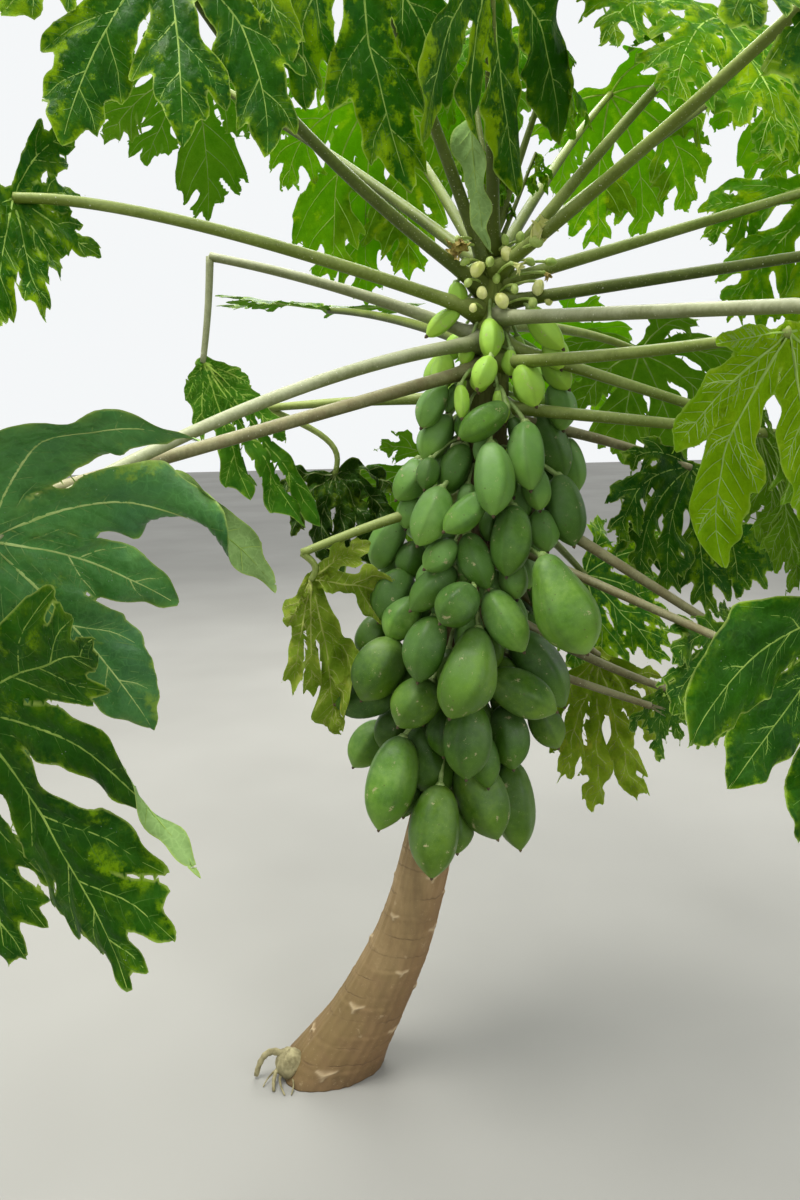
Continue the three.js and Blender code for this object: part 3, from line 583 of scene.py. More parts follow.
def stalk_curve(row, n=26):
    z0, az, el, length, arch, k = row[:6]
    z0, length = z0 / 1000, length / 1000
    d = np.array([math.cos(rad(az)), math.sin(rad(az)), 0])
    start = trunk_at(z0) + d * trunk_radius(z0) * STALK_SEAT
    end = start + length * (math.cos(rad(el)) * d + math.sin(rad(el)) * UP)
    mid = start + (end - start) * k + UP * arch * length * 2
    side = np.array([-math.sin(rad(az)), math.cos(rad(az)), 0])
    t = np.linspace(0, 1, n)[:, None]
    if arch <= 0.1:
        return (1 - t) ** 2 * start + 2 * t * (1 - t) * mid + t * t * end, side
    # bends over at a rounded shoulder
    reach = 0.25 * np.linalg.norm(mid - end)
    a, b = mid + unit(start - mid) * reach, mid + unit(end - mid) * reach
    u = np.linspace(0, 1, 40)[:, None]
    p = np.concatenate([start + (a - start) * u[:-1], (1 - u) ** 2 * a + 2 * u * (1 - u) * mid + u * u * b, b + (end - b) * u[1:]])
    s = np.concatenate([[0], np.cumsum(np.linalg.norm(np.diff(p, axis=0), axis=1))])
    at = np.linspace(0, s[-1], n)
    return np.stack([np.interp(at, s, p[:, j]) for j in range(3)], 1), side


def leaf_frame(face, tilt, spin):
    f, t, s = rad(face), rad(tilt), rad(spin)
    n = np.array([math.sin(t) * math.cos(f), math.sin(t) * math.sin(f), math.cos(t)])
    e = np.array([math.cos(t) * math.cos(f), math.cos(t) * math.sin(f), -math.sin(t)])
    l = np.cross(n, e)
    return math.cos(s) * e + math.sin(s) * l, -math.sin(s) * e + math.cos(s) * l, n


KNOTS = np.linspace(0, 1, 17)
VEIN_STEP = 0.075  # side veins leave the rib this far apart, share of the lobe


def table(pairs):
    return np.interp(KNOTS, [p[0] for p in pairs], [p[1] for p in pairs])


class Blade:
    """One lobed leaf blade: an outline grown round its veins, meshed flat, then bent to its place."""

    def __init__(self, centre, R, face, tilt, spin, droop, fan, seed, cut=0.5, h=0.007, curl=1.2, crumple=0.0, lobes=LOBES, lift=0.12, fold=0.10, ruffle=1.0, tune=None):
        self.c, self.R, self.h = np.asarray(centre, float), R, h / R
        self.x, self.y, self.n = leaf_frame(face, tilt, spin)
        self.fan, self.curl, self.crumple, self.fold, self.ruffle = fan, curl, crumple, fold, ruffle
        r = np.random.default_rng(seed)
        self.r = r
        self.th = np.radians([a for a, _ in lobes]) + r.normal(0, rad(1.5), len(lobes))
        self.len = np.array([b for _, b in lobes]) * (1 + r.normal(0, 0.03, len(lobes)))
        self.len = np.minimum(self.len, [b * 1.02 for _, b in lobes])
        self.droop = droop * (1 + r.normal(0, 0.10, len(lobes)))
        self.lift = lift + np.where(np.arange(len(lobes)) % 2, 0.04, -0.03) + np.where(np.arange(len(lobes)) % 2, 1, -1) * 0.9 * (1 - fan) + r.normal(0, 0.015, len(lobes))
        self.lift0 = lift
        self.twist = r.normal(0, 0.16 + 0.5 * crumple, len(lobes))
        self.sway = r.normal(0, 0.05 + 0.1 * crumple, len(lobes))
        self.phase = r.uniform(0, 6.28, (len(lobes), 4))
        self.roll = np.zeros(len(lobes))
        for i, (dr, sw, share, roll) in (tune or {}).items():
            self.droop[i], self.sway[i], self.len[i], self.roll[i] = dr, sw, lobes[i][1] * share, roll
            self.twist[i] *= 0.4
        self.turn = np.zeros(len(lobes))
        self.roll_at = 0.5
        self.slant = 0.0
        self.quilt = 1.0
        self.veins(cut)

    def toward(self, eye, share):
        """Turns each lobe about its own rib so that it shows its face to the given point."""
        s = np.full(len(self.th), 0.6)
        _, ld = self.walk(self.th * self.fan + self.sway * s ** 2, s, self.droop, self.lift)
        t0 = -np.sin(self.th * self.fan)[:, None] * self.x + np.cos(self.th * self.fan)[:, None] * self.y
        t = unit(t0 - ld * np.sum(t0 * ld, 1, keepdims=True))
        n = np.cross(ld, t)
        v = unit(eye - self.c)
        vp = unit(v - ld * (ld @ v)[:, None])
        a = np.arctan2(np.sum(np.cross(n, vp) * ld, 1), np.sum(n * vp, 1))
        self.turn = share * np.where(np.abs(a) > math.pi / 2, a - math.pi * np.sign(a), a)

    # -- flat shape
    def veins(self, cut):
        r = self.r
        A, B, T, L = [], [], [], []
        self.lines = []  # drawn veins: flat polyline, lobe, width at each end, main or fine

        def part(a, b, half, lobe):
            A.append(a); B.append(b); T.append(half); L.append(lobe)

        for i, (th, ln) in enumerate(zip(self.th, self.len)):
            d = np.array([math.cos(th), math.sin(th)])
            p = np.array([-d[1], d[0]])
            small = ln < 0.7
            bw = (0.172 - 0.112 * cut) * (0.9 if small else 1)
            tip = 0.62 if abs(self.roll[i]) > 0 else 1.0
            if self.roll[i] < -1:
                bw *= 0.62
            part(np.zeros(2), d * ln, ln * table([(0, 0.03), (0.1, 0.055), (0.2, 0.085), (0.3, 0.105 if self.roll[i] > -1 else 0.09), (0.42, max(bw, 0.085 if self.roll[i] > -1 else 0.06)), (0.56, bw * 1.04), (0.7, bw * (0.94 * tip + 0.15 * (1 - tip))), (0.82, bw * 0.76 * tip), (0.91, bw * 0.48 * tip), (0.97, bw * 0.2 * tip), (1, 0)]), i)
            t = np.linspace(0, 0.985, 20)
            self.lines.append((t[:, None] * d * ln, i, 0.0050, 0.0009, 0))
            few = cut < 0.45 or small
            places = (0.40, 0.68) if few else (0.36, 0.57, 0.77)
            sizes = (0.38, 0.22) if few else (0.42, 0.31, 0.17)
            if abs(self.roll[i]) > 0:
                places, sizes = (), ()
                bw *= 0.9 if self.roll[i] > 0 else 0.66
            for side in (1, -1):
                # half the angle to the next lobe on this side
                room = abs(self.th[i + side] - th) / 2 if 0 <= i + side < len(self.th) else rad(44)
                for j, s0 in enumerate(places):
                    s = s0 + (0.045 if side > 0 else -0.015) + r.normal(0, 0.016)
                    size = sizes[j] * (0.84 + 0.28 * cut) * (float(np.interp(cut, [0, 0.15, 0.3], [0.5, 0.8, 1.0])) if few else 1) * (1 + r.normal(0, 0.08)) * ln
                    ang = side * rad(46 - 3 * j - 4 * cut + r.normal(0, 3.0))
                    reach = math.sin(abs(ang) * 0.85) - math.cos(ang * 0.85) * math.tan(room)
                    if reach > 0:
                        size = min(size, s * ln * math.tan(room) / reach)
                    a = d * ln * s
                    # the lobule bends forwards a little, in two steps
                    q = np.array([math.cos(th + ang), math.sin(th + ang)])
                    q2 = np.array([math.cos(th + ang * 0.62), math.sin(th + ang * 0.62)])
                    m = a + q * size * 0.5
                    e = m + q2 * size * 0.5
                    fat = 1.04 - 0.5 * cut
                    part(a, m, size * fat * np.interp(KNOTS * 0.5, [0, 0.2, 0.5], [0.23, 0.25, 0.25]), i)
                    part(m, e, size * fat * np.interp(0.5 + KNOTS * 0.5, [0.5, 0.7, 0.85, 0.95, 1], [0.25, 0.205, 0.13, 0.055, 0]), i)
                    u = np.linspace(0, 0.96, 8)
                    path = np.where(u[:, None] < 0.5, a + q * size * u[:, None], m + q2 * size * (u[:, None] - 0.5))
                    self.lines.append((path, i, 0.0024, 0.0007, 0))
                    for s2 in (0.2, 0.36, 0.52, 0.68):
                        at = a + q * size * s2 if s2 < 0.5 else m + q2 * size * (s2 - 0.5)
                        for turn in (1, -1):
                            q3 = np.array([math.cos(th + ang + turn * 0.85), math.sin(th + ang + turn * 0.85)])
                            w = np.linspace(0, 1, 4)[:, None]
                            self.lines.append((at + q3 * size * 0.27 * (1.15 - s2) * w + q * size * 0.07 * w ** 2, i, 0.0012, 0.0005, 1))
                    # small tooth on the outer side of the lobule
                    if cut > 0.5 and size > 0.2:
                        b0 = a + q * size * 0.5
                        q4 = np.array([math.cos(th + ang * 1.9), math.sin(th + ang * 1.9)])
                        ts = size * 0.38
                        part(b0, b0 + q4 * ts, ts * table([(0, 0.34), (0.5, 0.26), (0.85, 0.1), (1, 0)]), i)
                # plain side veins, evenly spaced along the rib
                for k in range(1, 13):
                    w = np.linspace(0, bw * ln * (1.05 if k < 8 else 0.75), 5)
                    along = ln * VEIN_STEP * k + 0.73 * w + 2.2 * w ** 2
                    self.lines.append((along[:, None] * d + side * w[:, None] * p, i, 0.0014, 0.0006, 1))
        self.A, self.B, self.T, self.L = np.array(A), np.array(B), np.array(T), np.array(L)

    def field(self, P):
        """Signed distance to the outline (inside is negative), lobe number and distance to the nearest rib."""
        n = len(self.th)
        k = 0.009
        acc = np.zeros((n, len(P)))
        dv = np.full(len(P), 9.0)
        wave = 0.0045 * (np.sin(P @ np.array([47.0, 17.0]) + self.phase[0, 0]) + np.sin(P @ np.array([-26.0, 43.0]) + self.phase[0, 1]) + 0.8 * np.sin(P @ np.array([14.0, -71.0]) + self.phase[0, 2]))
        for a, b, tab, l in zip(self.A, self.B, self.T, self.L):
            ab = b - a
            t = np.clip(((P - a) @ ab) / (ab @ ab), 0, 1)
            dist = np.linalg.norm(P - a - t[:, None] * ab, axis=1)
            d = dist - np.interp(t, KNOTS, tab) + wave
            dv = np.minimum(dv, dist)
            acc[l] += np.exp(np.clip(-d / k, -40, 40))
        each = -k * np.log(acc + 1e-30)
        # each lobe keeps to its own side of the line midway to the next
        r = np.linalg.norm(P, axis=1)
        ang = np.arctan2(P[:, 1], P[:, 0])
        web = 1 - smooth(0.29, 0.38, r)
        for i, th in enumerate(self.th):
            off = (ang - th + math.pi) % (2 * math.pi) - math.pi
            for side in (1, -1):
                if 0 <= i + side < n:
                    room = abs(self.th[i + side] - th) / 2
                    beyond = r * np.sin(np.clip(off * side - room, -1.5, 1.5)) + 0.006
                    each[i] = np.maximum(each[i], beyond - web)
        first = each.min(0)
        whole = -k * np.log(acc.sum(0) + 1e-30)
        return whole * web + first * (1 - web), np.argmin(each, 0), dv

    def flat_mesh(self):
        h = self.h
        top = max(1.0, self.len.max())
        hi = 1.08 * top
        n = int(2 * hi / h) + 1
        g = np.linspace(-hi, hi, n)
        # keep only the part of the square the blade can reach
        X, Y = np.meshgrid(g, g, indexing="ij")
        X = X + (np.arange(n) % 2)[None] * h * 0.5
        P = np.stack([X.ravel(), Y.ravel()], 1)
        F = np.full(len(P), 1.0)
        near = np.linalg.norm(P, axis=1) < 1.06 * top
        F[near] = self.field(P[near])[0]
        F[np.abs(F) < h * 0.06] = -h * 0.06
        idx = np.arange(n * n).reshape(n, n)
        a, b, c, d = idx[:-1, :-1], idx[1:, :-1], idx[1:, 1:], idx[:-1, 1:]
        odd = (np.arange(n - 1) % 2 == 1)[None] & np.ones((n - 1, 1), bool)
        t1 = np.where(odd[..., None], np.stack([a, b, d], -1), np.stack([a, b, c], -1))
        t2 = np.where(odd[..., None], np.stack([b, c, d], -1), np.stack([a, c, d], -1))
        T = np.concatenate([t1.reshape(-1, 3), t2.reshape(-1, 3)])
        ins = F[T] < 0
        cnt = ins.sum(1)
        T, ins, cnt = T[cnt > 0], ins[cnt > 0], cnt[cnt > 0]
        full = T[cnt == 3]
        N = n * n
        out, keys = [full], []

        def roll(tri, lead):
            r = lead[:, None]
            return np.take_along_axis(tri, (np.arange(3)[None] + r) % 3, 1)

        one = roll(T[cnt == 1], np.argmax(ins[cnt == 1], 1))
        two = roll(T[cnt == 2], np.argmax(~ins[cnt == 2], 1))

        def key(p, q):
            return np.minimum(p, q).astype(np.int64) * N + np.maximum(p, q)

        k1 = [key(one[:, 0], one[:, 1]), key(one[:, 0], one[:, 2])]
        k2 = [key(two[:, 0], two[:, 1]), key(two[:, 0], two[:, 2])]
        allk = np.concatenate(k1 + k2)
        uniq, inv = np.unique(allk, return_inverse=True)
        p, q = (uniq // N).astype(int), (uniq % N).astype(int)
        w = (F[p] / (F[p] - F[q]))[:, None]
        edge = P[p] * (1 - w) + P[q] * w
        inv = inv + N
        m1, m2 = len(one), len(two)
        e = np.split(inv, [m1, 2 * m1, 2 * m1 + m2])
        out.append(np.stack([one[:, 0], e[0], e[1]], 1))
        out.append(np.stack([e[2], two[:, 1], two[:, 2]], 1))
        out.append(np.stack([e[2], two[:, 2], e[3]], 1))
        tri = np.concatenate(out)
        V = np.concatenate([P, edge])
        used, tri = np.unique(tri, return_inverse=True)
        return V[used], tri.reshape(-1, 3)

    # -- bending
    def walk(self, th, s, droop, lift, steps=14):
        """Walks out s along angle th while the blade bends down. Returns place and direction."""
        d0 = unit(np.cos(th)[:, None] * self.x + np.sin(th)[:, None] * self.y + lift[:, None] * self.n)
        target = unit(DOWN + 0.12 * self.n)
        dot = np.clip(d0 @ target, -0.9999, 0.9999)
        om = np.arccos(dot)
        so = np.sin(om)
        p = np.zeros_like(d0)
        for i in range(steps):
            u = (i + 0.5) / steps * s
            g = np.minimum(0.93, droop * np.maximum(u, 0) ** 1.25)
            d = (np.sin((1 - g) * om) / so)[:, None] * d0 + (np.sin(g * om) / so)[:, None] * target
            p += d * (s / steps)[:, None]
        return p, unit(d)

    def map(self, P, lobe, f, dv):
        """Flat points to their place in the world."""
        r = np.linalg.norm(P, axis=1)
        th = np.arctan2(P[:, 1], P[:, 0])
        tl = self.th[lobe]
        dth = (th - tl + math.pi) % (2 * math.pi) - math.pi
        th = tl + dth
        s, w = r * np.cos(dth), r * np.sin(dth)
        order = np.argsort(self.th)
        dr = np.interp(th, self.th[order], self.droop[order])
        pp, pd = self.walk(th * self.fan, r, dr, np.full(len(r), self.lift0))
        la = tl * self.fan + self.sway[lobe] * np.maximum(s, 0) ** 2
        lp, ld = self.walk(la, s, self.droop[lobe], self.lift[lobe])
        t0 = -np.sin(tl * self.fan)[:, None] * self.x + np.cos(tl * self.fan)[:, None] * self.y
        t = unit(t0 - ld * np.sum(t0 * ld, 1, keepdims=True))
        n = np.cross(ld, t)
        a = self.turn[lobe] * smooth(0.12, 0.5, s) + self.twist[lobe] * np.maximum(s, 0) ** 1.5 + self.roll[lobe] * smooth(self.roll_at, self.roll_at + 0.26, s / self.len[lobe] + self.slant * np.clip(w, -0.12, 0.12))
        t, n = np.cos(a)[:, None] * t + np.sin(a)[:, None] * n, np.cos(a)[:, None] * n - np.sin(a)[:, None] * t
        k = self.curl * (0.4 + s) + 1e-6 + np.where(np.abs(self.roll[lobe]) > 1, 9.0, 0.0) * np.exp(-(((s / self.len[lobe] - self.roll_at - 0.13) / 0.13) ** 2))
        ww, wz = np.sin(k * w) / k, -(1 - np.cos(k * w)) / k
        lo = lp + t * ww[:, None] + n * (wz - self.fold * np.abs(w))[:, None]
        tp0 = -np.sin(th * self.fan)[:, None] * self.x + np.cos(th * self.fan)[:, None] * self.y
        tp = unit(tp0 - pd * np.sum(tp0 * pd, 1, keepdims=True))
        npol = np.cross(pd, tp)
        rs = np.where(self.len[lobe] > 0.7, 0.42, 0.32)
        mix = smooth(rs, rs + 0.18, r)[:, None]
        q = pp * (1 - mix) + lo * mix
        nn = unit(npol * (1 - mix) + n * mix)
        # swelling between the ribs, waves towards the margin, crumple
        ph = self.phase[lobe]
        edge = np.exp(np.clip(f, -1, 0) / 0.035)
        z = 0.012 * self.quilt * (1 - np.exp(-((dv / 0.045) ** 2)))
        aw = np.abs(w)
        row = (s - 0.73 * aw - 2.2 * aw ** 2) / self.len[lobe] / VEIN_STEP
        z += 0.0068 * self.quilt * np.abs(np.sin(math.pi * row)) * smooth(0.0, 0.05, dv) * smooth(0.0, 0.04, -f)
        z += self.ruffle * edge * (0.012 * np.sin(s * 21 + ph[:, 0] + np.sign(w) * 1.3) + 0.007 * np.sin(s * 37 + ph[:, 1]))
        z += 0.008 * np.sin(s * 6 + ph[:, 2]) * smooth(0.3, 0.7, r)
        if self.crumple:
            z += self.crumple * (0.022 * np.sin(s * 17 + w * 25 + ph[:, 1]) + 0.016 * np.sin(s * 31 - w * 44 + ph[:, 3]) + 0.05 * edge * np.sin(s * 13 + ph[:, 2]))
        return self.c + self.R * (q + nn * z[:, None])

    def placed(self, P):
        """World points and normals of flat points."""
        f, lobe, dv = self.field(P)
        e = 0.004
        p0 = self.map(P, lobe, f, dv)
        px = self.map(P + [e, 0], lobe, f, dv)
        py = self.map(P + [0, e], lobe, f, dv)
        return p0, unit(np.cross(px - p0, py - p0)), f, dv, lobe

    def build(self, bag, slots, thick=0.0009, veins=2):
        P, tri = self.flat_mesh()
        # flat triangles run counter-clockwise
        a, b, c = P[tri[:, 0]], P[tri[:, 1]], P[tri[:, 2]]
        flip = (b[:, 0] - a[:, 0]) * (c[:, 1] - a[:, 1]) - (b[:, 1] - a[:, 1]) * (c[:, 0] - a[:, 0]) < 0
        tri[flip] = tri[flip][:, ::-1]
        p, n, f, dv, lobe = self.placed(P)
        # the blade parts where one lobe leaves the next
        two = (lobe[tri] != lobe[tri[:, :1]]).any(1) & (np.linalg.norm(P[tri].mean(1), axis=1) > 0.3)
        long = np.linalg.norm(p[tri] - p[np.roll(tri, 1, 1)], axis=2) > 1.45 * self.R * np.linalg.norm(P[tri] - P[np.roll(tri, 1, 1)], axis=2)
        tri = tri[~(two & long.any(1))]
        half = (thick / 2) * smooth(0, 0.02, -f)[:, None] + 0.00005
        edge = np.exp(np.clip(f, -1, 0) / 0.022)
        rib = np.exp(-dv / 0.014)
        bag.add(p + n * half, tri, slots[0], edge, rib)
        bag.add(p - n * half, tri[:, ::-1], slots[1], edge, rib)
        if not veins:
            return
        pts = np.concatenate([l[0] for l in self.lines])
        q, nn, ff, _, _ = self.placed(pts)
        at = 0
        scale = self.R / 0.38
        for line, lobe, w0, w1, fine in self.lines:
            m = len(line)
            pp, nv, fv = q[at:at + m], nn[at:at + m], ff[at:at + m]
            at += m
            if fine and veins < 2:
                continue
            ok = fv < -0.004
            ok[0] = True
            stop = m if ok.all() else int(np.argmin(ok))
            if stop < 3:
                continue
            pp, nv = pp[:stop], nv[:stop]
            tt = unit(np.gradient(pp, axis=0))
            sd = unit(np.cross(nv, tt))
            wd = (np.linspace(w0, w1, m)[:stop] * scale)[:, None] * 0.5
            if fine:
                i = np.arange(stop - 1) * 2
                ft = np.concatenate([np.stack([i, i + 1, i + 3], 1), np.stack([i, i + 3, i + 2], 1)])
                for sgn, slot in ((1, slots[4]), (-1, slots[3])):
                    off = nv * sgn * (thick / 2 + 0.0004)
                    bag.add(np.stack([pp + off - sd * wd, pp + off + sd * wd], 1).reshape(-1, 3), ft if sgn < 0 else ft[:, ::-1], slot)
                continue
            for sgn, slot, high in ((1, slots[2], 0.35), (-1, slots[3], 0.9)):
                off = nv * sgn * (thick / 2 + 0.0002)
                rows = np.stack([pp + off - sd * wd, pp + off + nv * sgn * wd * high + nv * sgn * 0.0002, pp + off + sd * wd], 1)
                v = rows.reshape(-1, 3)
                i = np.arange(stop - 1)[:, None] * 3
                j = np.arange(2)[None]
                q0, q1, q2, q3 = (i + j).ravel(), (i + j + 1).ravel(), (i + 3 + j + 1).ravel(), (i + 3 + j).ravel()
                ft = np.concatenate([np.stack([q0, q1, q2], 1), np.stack([q0, q2, q3], 1)])
                bag.add(v, ft if sgn < 0 else ft[:, ::-1], slot)


def stalk_tube(row, foot=STALK_FOOT, end=STALK_END, n=30, sides=12):
    p, side = stalk_curve(row, n)
    t = np.linspace(0, 1, n)
    r = foot + (end - foot) * t ** 0.8
    r = r * (1 + 0.95 * np.exp(-t / 0.022)) * (1 + 0.12 * np.exp(-((1 - t) / 0.02)))
    v, f = tube(p, r, sides, side, ridge=0.015, ridges=5)
    # how far each point faces up, used for painted light on the top and painted shade underneath
    near = np.argmin(np.linalg.norm(v[:, None] - p[None], axis=2), 1)
    up = unit(v - p[near] + 1e-9)[:, 2]
    return (v, f, up), p


leaf_objects = []
for number, (name, row) in enumerate(LEAVES.items()):
    mood, cut, h, curl, crumple, stalk_mat = STYLE[name]
    frond = name.startswith("frond")
    (sv, sf, su_painted_light), path = stalk_tube(row)
    R, face, tilt, spin, droop, fan = row[6] / 1000, *row[7:]
    centre = path[-1].copy()
    bag = Bag()
    if name in KINKS:
        drop, lean = KINKS[name]
        foot = centre + np.array([lean, 0, -drop])
        t = np.linspace(0, 1, 14)[:, None]
        hang = centre + (foot - centre) * t + np.array([0.35 * lean + 0.012, 0, 0]) * np.sin(t * math.pi)
        hv, hf = tube(hang, np.linspace(STALK_END * 0.95, STALK_END * 0.75, 14), 10, np.array([0, 1.0, 0]))
        bag.add(hv, hf, 5)
        centre = foot
    if frond:
        bag.add(sv, sf, 5, su_painted_light)
    else:
        sb = Bag()
        sb.add(sv, sf, 0, su_painted_light)
        so = sb.object(name.replace("leaf", "stalk") + "_fine", [M[stalk_mat]])
        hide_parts(name.replace("leaf", "stalk"))
        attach(so, "root")
    lobes = LOBES
    if name in SHAPE:
        lobes, face, tilt, spin, droop = SHAPE[name]
        fan = 1.0
    blade = Blade(centre, R, face, tilt, spin, droop, fan, 100 + number, cut, 1.12 * h, curl, crumple, lobes=lobes, tune=TUNE.get(name))
    blade.roll_at = ROLL_AT.get(name, 0.5)
    blade.slant = SLANT.get(name, 0.0)
    if frond:
        blade.quilt, blade.ruffle = 0.3, 0.5
    if name in TURN:
        blade.toward(EYE, TURN[name])
    blade.build(bag, (0, 1, 2, 3, 4), veins=1 if frond or name in ("leaf_right_7", "leaf_right_9") else 2)
    ob = bag.object(name + "_fine", [M[k] for k in MOODS[mood]] + [M[stalk_mat]])
    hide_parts(name)
    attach(ob, "root")
    leaf_objects.append(ob)

for name, row in STUBS.items():
    (sv, sf, su_painted_light), path = stalk_tube(row, 0.011, 0.0075)
    b = Bag()
    b.add(sv, sf, 0, su_painted_light)
    # frayed end
    r = np.random.default_rng(len(name))
    d = unit(path[-1] - path[-3])
    for _ in range(9):
        j = unit(d + r.normal(0, 0.25, 3))
        q = path[-1] + r.normal(0, 0.003, 3)
        v, f = tube(np.stack([q, q + j * 0.012, q + j * r.uniform(0.018, 0.034)]), [0.0018, 0.0012, 0.0004], 4)
        b.add(v, f, 0)
    ob = b.object(name + "_fine", [M["stalk_old"]])
    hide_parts(name)
    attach(ob, "root")

# ---------------------------------------------------------------- trunk
def build_trunk():
    z = np.concatenate([np.linspace(0, 0.66, 270, endpoint=False), np.linspace(0.66, TRUNK[-1, 2], 120)])
    rows, cols = len(z), 140
    x = np.interp(z, AX_Z, AX_X)
    r = np.interp(z, AX_Z, AX_R)
    lean = np.arctan(np.gradient(x, z))
    phi = np.linspace(0, 2 * math.pi, cols, endpoint=False)
    Z, PH = np.meshgrid(z, phi, indexing="ij")
    Rr = np.repeat(r[:, None], cols, 1)
    foot = np.clip(1 - Z / 0.14, 0, 1)
    Rr = Rr * (1 + 0.07 * foot ** 1.5 * np.cos(3 * PH) + 0.03 * foot * np.sin(5 * PH + 1))
    g = np.random.default_rng(11)
    # slow unevenness and vertical grooves
    for _ in range(10):
        a, b, c = g.integers(1, 5), g.uniform(4, 22), g.uniform(0, 6.28)
        Rr = Rr * (1 + 0.0045 * np.sin(a * PH + b * Z + c))
    for _ in range(14):
        a, b, c = g.integers(9, 34), g.uniform(2, 9), g.uniform(0, 6.28)
        Rr = Rr + 0.00028 * np.sin(a * PH + b * Z + c)
    dz = np.zeros_like(Rr)
    scar = np.zeros_like(Rr)
    line = np.zeros_like(Rr)
    # leaf scars: small raised marks with three arms, in a spiral; a thin line runs round the trunk at each
    k, h = 0, 0.055
    knots_h = [0.0]
    while h < 1.72:
        knots_h.append(h)
        h += 0.052 * g.uniform(0.7, 1.3) * (1.0 if h < 0.7 else 0.7)
    last = h
    h = 0.035
    while h < 1.72:
        a0 = (k * 137.5 + 250 + g.normal(0, 14)) % 360
        d = (np.degrees(PH) - a0 + 180) % 360 - 180
        s = np.radians(d) * Rr
        q = Z - h
        w = 0.0150 * g.uniform(0.6, 1.3)
        reach = np.full_like(Rr, 9.0)
        for ex, ez in ((-w, 0.42 * w), (w, 0.42 * w), (0.1 * w, -0.62 * w)):
            t = np.clip((s * ex + q * ez) / (ex * ex + ez * ez), 0, 1)
            reach = np.minimum(reach, np.hypot(s - t * ex, q - t * ez))
        arms = np.exp(-((reach / 0.0027) ** 2))
        inside = smooth(1.1, 0.5, np.abs(s) / (w * np.clip(0.75 + q / w, 0.05, 1))) * smooth(0.75, 0.35, np.abs(q) / w)
        dz += 0.0019 * arms + 0.0009 * inside
        scar = np.maximum(scar, np.maximum(arms, 0.4 * inside))
        around = np.exp(-((np.abs(d) / 75) ** 2))
        dz += around * (0.0011 * np.exp(-(((q + 0.002) / 0.0055) ** 2)) - 0.0008 * np.exp(-(((q - 0.006) / 0.003) ** 2)))
        line = np.maximum(line, around)
        h += 0.029 * g.uniform(0.6, 1.4)
        k += 1
    lap = np.interp(Z + 0.0035 * np.cos(PH * 2 + 3 * Z), knots_h + [last], np.arange(len(knots_h) + 1))
    dz += 0.0006 * np.abs(np.sin(math.pi * lap)) ** 0.5
    Rr = Rr + dz
    V = np.stack([x[:, None] + Rr * np.cos(PH) / np.cos(lean)[:, None], Rr * np.sin(PH), Z], -1).reshape(-1, 3)
    i = np.arange(rows - 1)[:, None] * cols
    j = np.arange(cols)[None]
    kk = (j + 1) % cols
    q0, q1, q2, q3 = (i + j).ravel(), (i + kk).ravel(), (i + cols + kk).ravel(), (i + cols + j).ravel()
    F = np.concatenate([np.stack([q0, q1, q2], 1), np.stack([q0, q2, q3], 1)])
    c0, c1 = len(V), len(V) + 1
    V = np.concatenate([V, [[x[0], 0, 0.0]], [[x[-1], 0, z[-1] + 0.002]]])
    j = np.arange(cols)
    kk = (j + 1) % cols
    F = np.concatenate([F, np.stack([np.full(cols, c0), kk, j], 1), np.stack([np.full(cols, c1), (rows - 1) * cols + j, (rows - 1) * cols + kk], 1)])
    pad = [0, 0]
    side = np.cos(PH)
    return V, F, {
        "scar": np.concatenate([scar.ravel(), pad]), "line": np.concatenate([line.ravel(), pad]), "lap": np.concatenate([lap.ravel(), pad]),
        "side": np.concatenate([side.ravel(), pad]), "high": np.concatenate([Z.ravel(), pad])}


